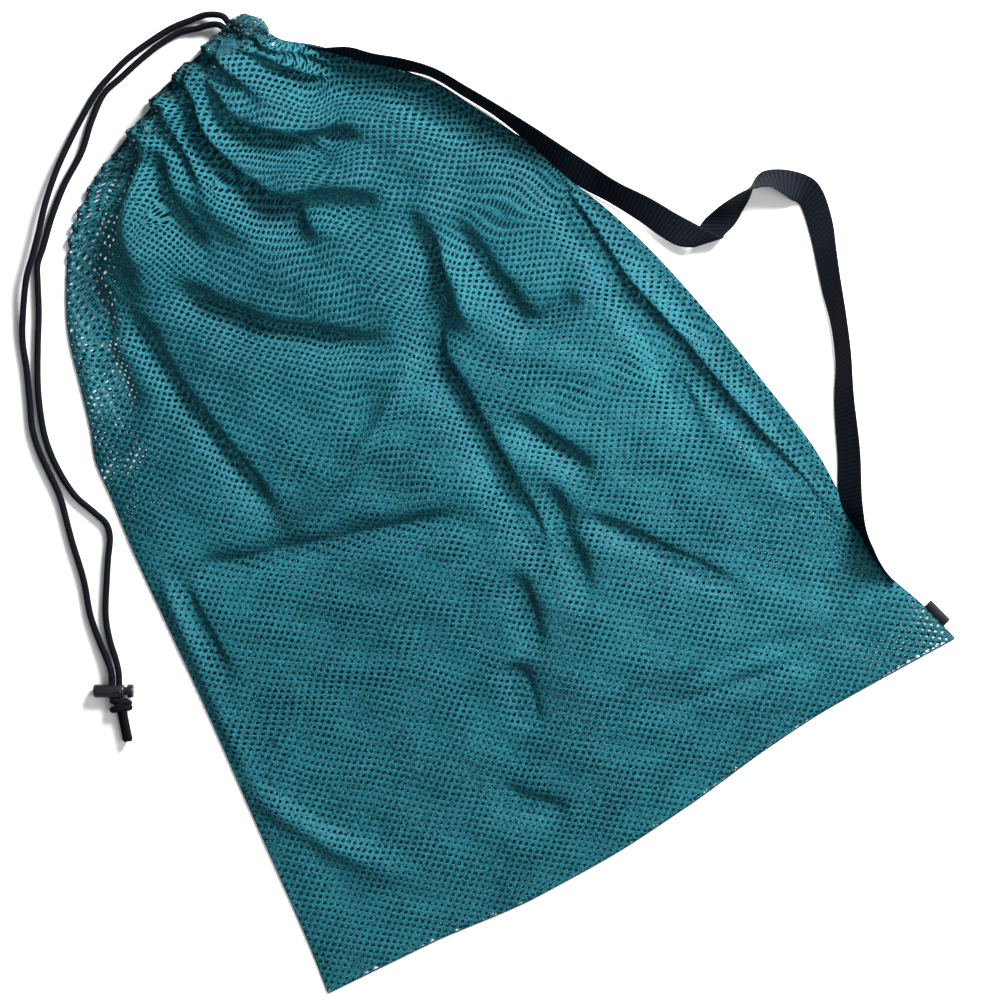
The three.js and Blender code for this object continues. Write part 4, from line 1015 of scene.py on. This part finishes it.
def strap_edges():
    """Both edge curves of the webbing through its stations, in millimetres."""
    rows = np.array(strap_stations)
    first = rows[:, 0:2] * (bag_width, bag_length)
    second = rows[:, 2:4] * (bag_width, bag_length)
    stand = np.sqrt(np.maximum(0, strap_width ** 2 - ((first - second) ** 2).sum(1)))
    lift = rows[:, 5] * strap_width
    first = np.column_stack([first, lift + np.maximum(0, rows[:, 4]) * stand])
    second = np.column_stack([second, lift + np.maximum(0, -rows[:, 4]) * stand])
    ends = [sewn_end(strap_neck_seam), sewn_end(strap_corner_seam)]
    low = lift[0]
    first = np.vstack([[*ends[0], low + strap_width], first, [*ends[1], low + strap_width]])
    second = np.vstack([[*ends[0], low], second, [*ends[1], low]])
    shares = np.linspace(0, 1, 1300)
    first, second = smooth_line(first, shares), smooth_line(second, shares)
    run = np.linalg.norm(np.diff((first + second) / 2, axis=0), axis=1).cumsum()
    run = np.concatenate([[0], run])
    from_end = np.minimum(run, run[-1] - run)
    pinched = (1 - sewn_height / strap_width) * (1 - smooth_step(0, 42, from_end))
    first += (second - first) * pinched[:, None]
    lowest = strap_thickness / 2 + 0.1
    for edge in (first, second):
        edge[:, :2] -= footprint_middle
        edge[:, 2] = np.maximum(edge[:, 2], lowest)
        seen_from = np.array(photo_middle) * 1000
        edge[:, :2] -= (edge[:, :2] - seen_from) * edge[:, 2:] * photo_width ** -1 * sensor_mm / lens_mm * 0.001
    return first, second


first_edge, second_edge = strap_edges()
strap_middle = (first_edge + second_edge) / 2
strap_run = np.gradient(strap_middle, axis=0)
strap_run /= np.linalg.norm(strap_run, axis=1, keepdims=True)
strap_far = np.concatenate([[0], np.cumsum(np.linalg.norm(np.diff(strap_middle, axis=0), axis=1))])
strap_face = np.cross(second_edge - first_edge, strap_run)
strap_face /= np.linalg.norm(strap_face, axis=1, keepdims=True)
columns = np.array([-1, -0.985, -0.95, -0.88, -0.72, -0.5, -0.25, 0, 0.25, 0.5, 0.72, 0.88, 0.95, 0.985, 1])
rounded = np.sqrt(np.clip(1 - np.clip((np.abs(columns) - 0.9) / 0.1, 0, 1) ** 2, 0.02, 1))
rib = np.abs(np.sin(math.pi * strap_far / rib_pitch))[:, None] ** 0.7
dimple = np.abs(np.sin(math.pi * strap_far[:, None] / rib_pitch + 8 * columns))
face_half = (0.48 + 0.30 * rib) * rounded
back_half = (0.56 + 0.18 * dimple) * rounded
across_strap = first_edge[:, None] + (second_edge - first_edge)[:, None] * ((columns + 1) / 2)[:, None]
face_side = across_strap + strap_face[:, None] * face_half[..., None]
back_side = across_strap - strap_face[:, None] * back_half[..., None]
loop = np.concatenate([face_side, back_side[:, ::-1]], axis=1)
count, width = loop.shape[:2]
i, j = np.meshgrid(np.arange(count - 1), np.arange(width), indexing="ij")
here, beside = i * width + j, i * width + (j + 1) % width
strap_faces = np.stack([here, beside, beside + width, here + width], -1).reshape(-1, 4).tolist()
strap_faces += [tuple(range(width))[::-1], tuple(range((count - 1) * width, count * width))]
strap_uv = np.stack([
    np.broadcast_to(np.concatenate([columns, columns[::-1]]) * strap_width / 2, (count, width)),
    np.broadcast_to(strap_far[:, None], (count, width)),
], -1).reshape(-1, 2)

webbing, tree, output = new_material("woven_polypropylene_webbing")
place = add_node(tree, "ShaderNodeUVMap", {"uv_map": "UVMap"}, {})
warp = add_node(tree, "ShaderNodeTexWave", {"bands_direction": "X", "Scale": 0.36, "Distortion": 0.4},
                {"Vector": place.outputs["UV"]})
# Across the ribs the colour is painted lighter on their crests and darker in the grooves, a painted highlight and shade
# in step with the ribs; the lengthwise threads are the webbing's own pattern
rib_painted_highlight = add_node(tree, "ShaderNodeTexWave", {"bands_direction": "Y", "Scale": 0.314 / rib_pitch},
                {"Vector": place.outputs["UV"]})
weave = add_node(tree, "ShaderNodeMath", {"operation": "MULTIPLY_ADD", 2: -0.25}, {
    0: rib_painted_highlight.outputs["Fac"], 1: warp.outputs["Fac"],
})
tree.links.new(rib_painted_highlight.outputs["Fac"], weave.inputs[2])
shade = add_node(tree, "ShaderNodeMix", {
    "data_type": "RGBA", 6: linear("#010206"), 7: linear("#0b121c"),
}, {0: weave.outputs[0]})
relief = add_node(tree, "ShaderNodeBump", {"Strength": 0.5, "Distance": 0.0002}, {"Height": warp.outputs["Fac"]})
threads = add_node(tree, "ShaderNodeBsdfPrincipled", {
    "Roughness": 0.8, "Specular IOR Level": 0.09,
}, {"Base Color": shade.outputs[2], "Normal": relief.outputs["Normal"]})
tree.links.new(threads.outputs["BSDF"], output.inputs["Surface"])

strap = finished("ribbed_webbing_strap", loop.reshape(-1, 3), strap_faces, [webbing], strap_uv)
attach(strap, "root")
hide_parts("shoulder_strap")


# Side label: a small bare woven tab, folded in half and sewn into the right side seam near the
# bottom corner, with its fold standing out from the bag.
label_length = 23
label_reach = 8
ply = 0.4
low = footprint(np.array([0.35]), np.array([1.0]))[0][0]
high = footprint(np.array([0.9]), np.array([1.0]))[0][0]
seam_way = (high - low) / np.linalg.norm(high - low)
out_way = np.array((seam_way[1], -seam_way[0]))
label_middle = (low + high) / 2 - footprint_middle

turn = np.linspace(-math.pi / 2, math.pi / 2, 9)
outer = [(0.35, -0.5)] + [(label_reach - 0.2 + 0.5 * math.cos(t), 0.5 * math.sin(t)) for t in turn] + [(0.35, 0.5)]
inner = [(0.35, 0.5 - ply)] + [
    (label_reach - 0.2 + (0.5 - ply) * math.cos(t), (0.5 - ply) * math.sin(t)) for t in turn[::-1]
] + [(0.35, ply - 0.5)]
profile = np.array(outer + inner)
steps = np.linspace(-label_length / 2, label_length / 2, 24)
rings = []
for step in steps:
    wave = 0.12 * math.sin(step * 0.5)
    flat = label_middle + np.outer(profile[:, 0], out_way) + step * seam_way
    rings.append(np.column_stack([flat, 1.5 + profile[:, 1] + wave]))
width = len(profile)
label_faces = []
for ring in range(len(steps) - 1):
    for k in range(width):
        a, b = ring * width + k, ring * width + (k + 1) % width
        label_faces.append((a, b, b + width, a + width))
half = len(outer)
for k in range(half - 1):
    a, b, c, d = k, k + 1, width - 2 - k, width - 1 - k
    label_faces.append((d, c, b, a))
    last = (len(steps) - 1) * width
    label_faces.append((last + a, last + b, last + c, last + d))

tab_cloth, tree, output = new_material("woven_satin_tab")
place = add_node(tree, "ShaderNodeTexCoord", {}, {})
weave = add_node(tree, "ShaderNodeTexNoise", {"Scale": 2200, "Detail": 1}, {"Vector": place.outputs["Object"]})
shade = add_node(tree, "ShaderNodeMix", {
    "data_type": "RGBA", 6: linear("#07090f"), 7: linear("#141824"),
}, {0: weave.outputs["Fac"]})
relief = add_node(tree, "ShaderNodeBump", {"Strength": 0.3, "Distance": 0.0001}, {"Height": weave.outputs["Fac"]})
satin = add_node(tree, "ShaderNodeBsdfPrincipled", {
    "Roughness": 0.5, "Sheen Weight": 0.1, "Sheen Roughness": 0.3,
}, {"Base Color": shade.outputs[2], "Normal": relief.outputs["Normal"]})
tree.links.new(satin.outputs["BSDF"], output.inputs["Surface"])
label = finished("folded_side_tab", np.vstack(rings), label_faces, [tab_cloth])
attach(label, "root")
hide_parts("side_label")
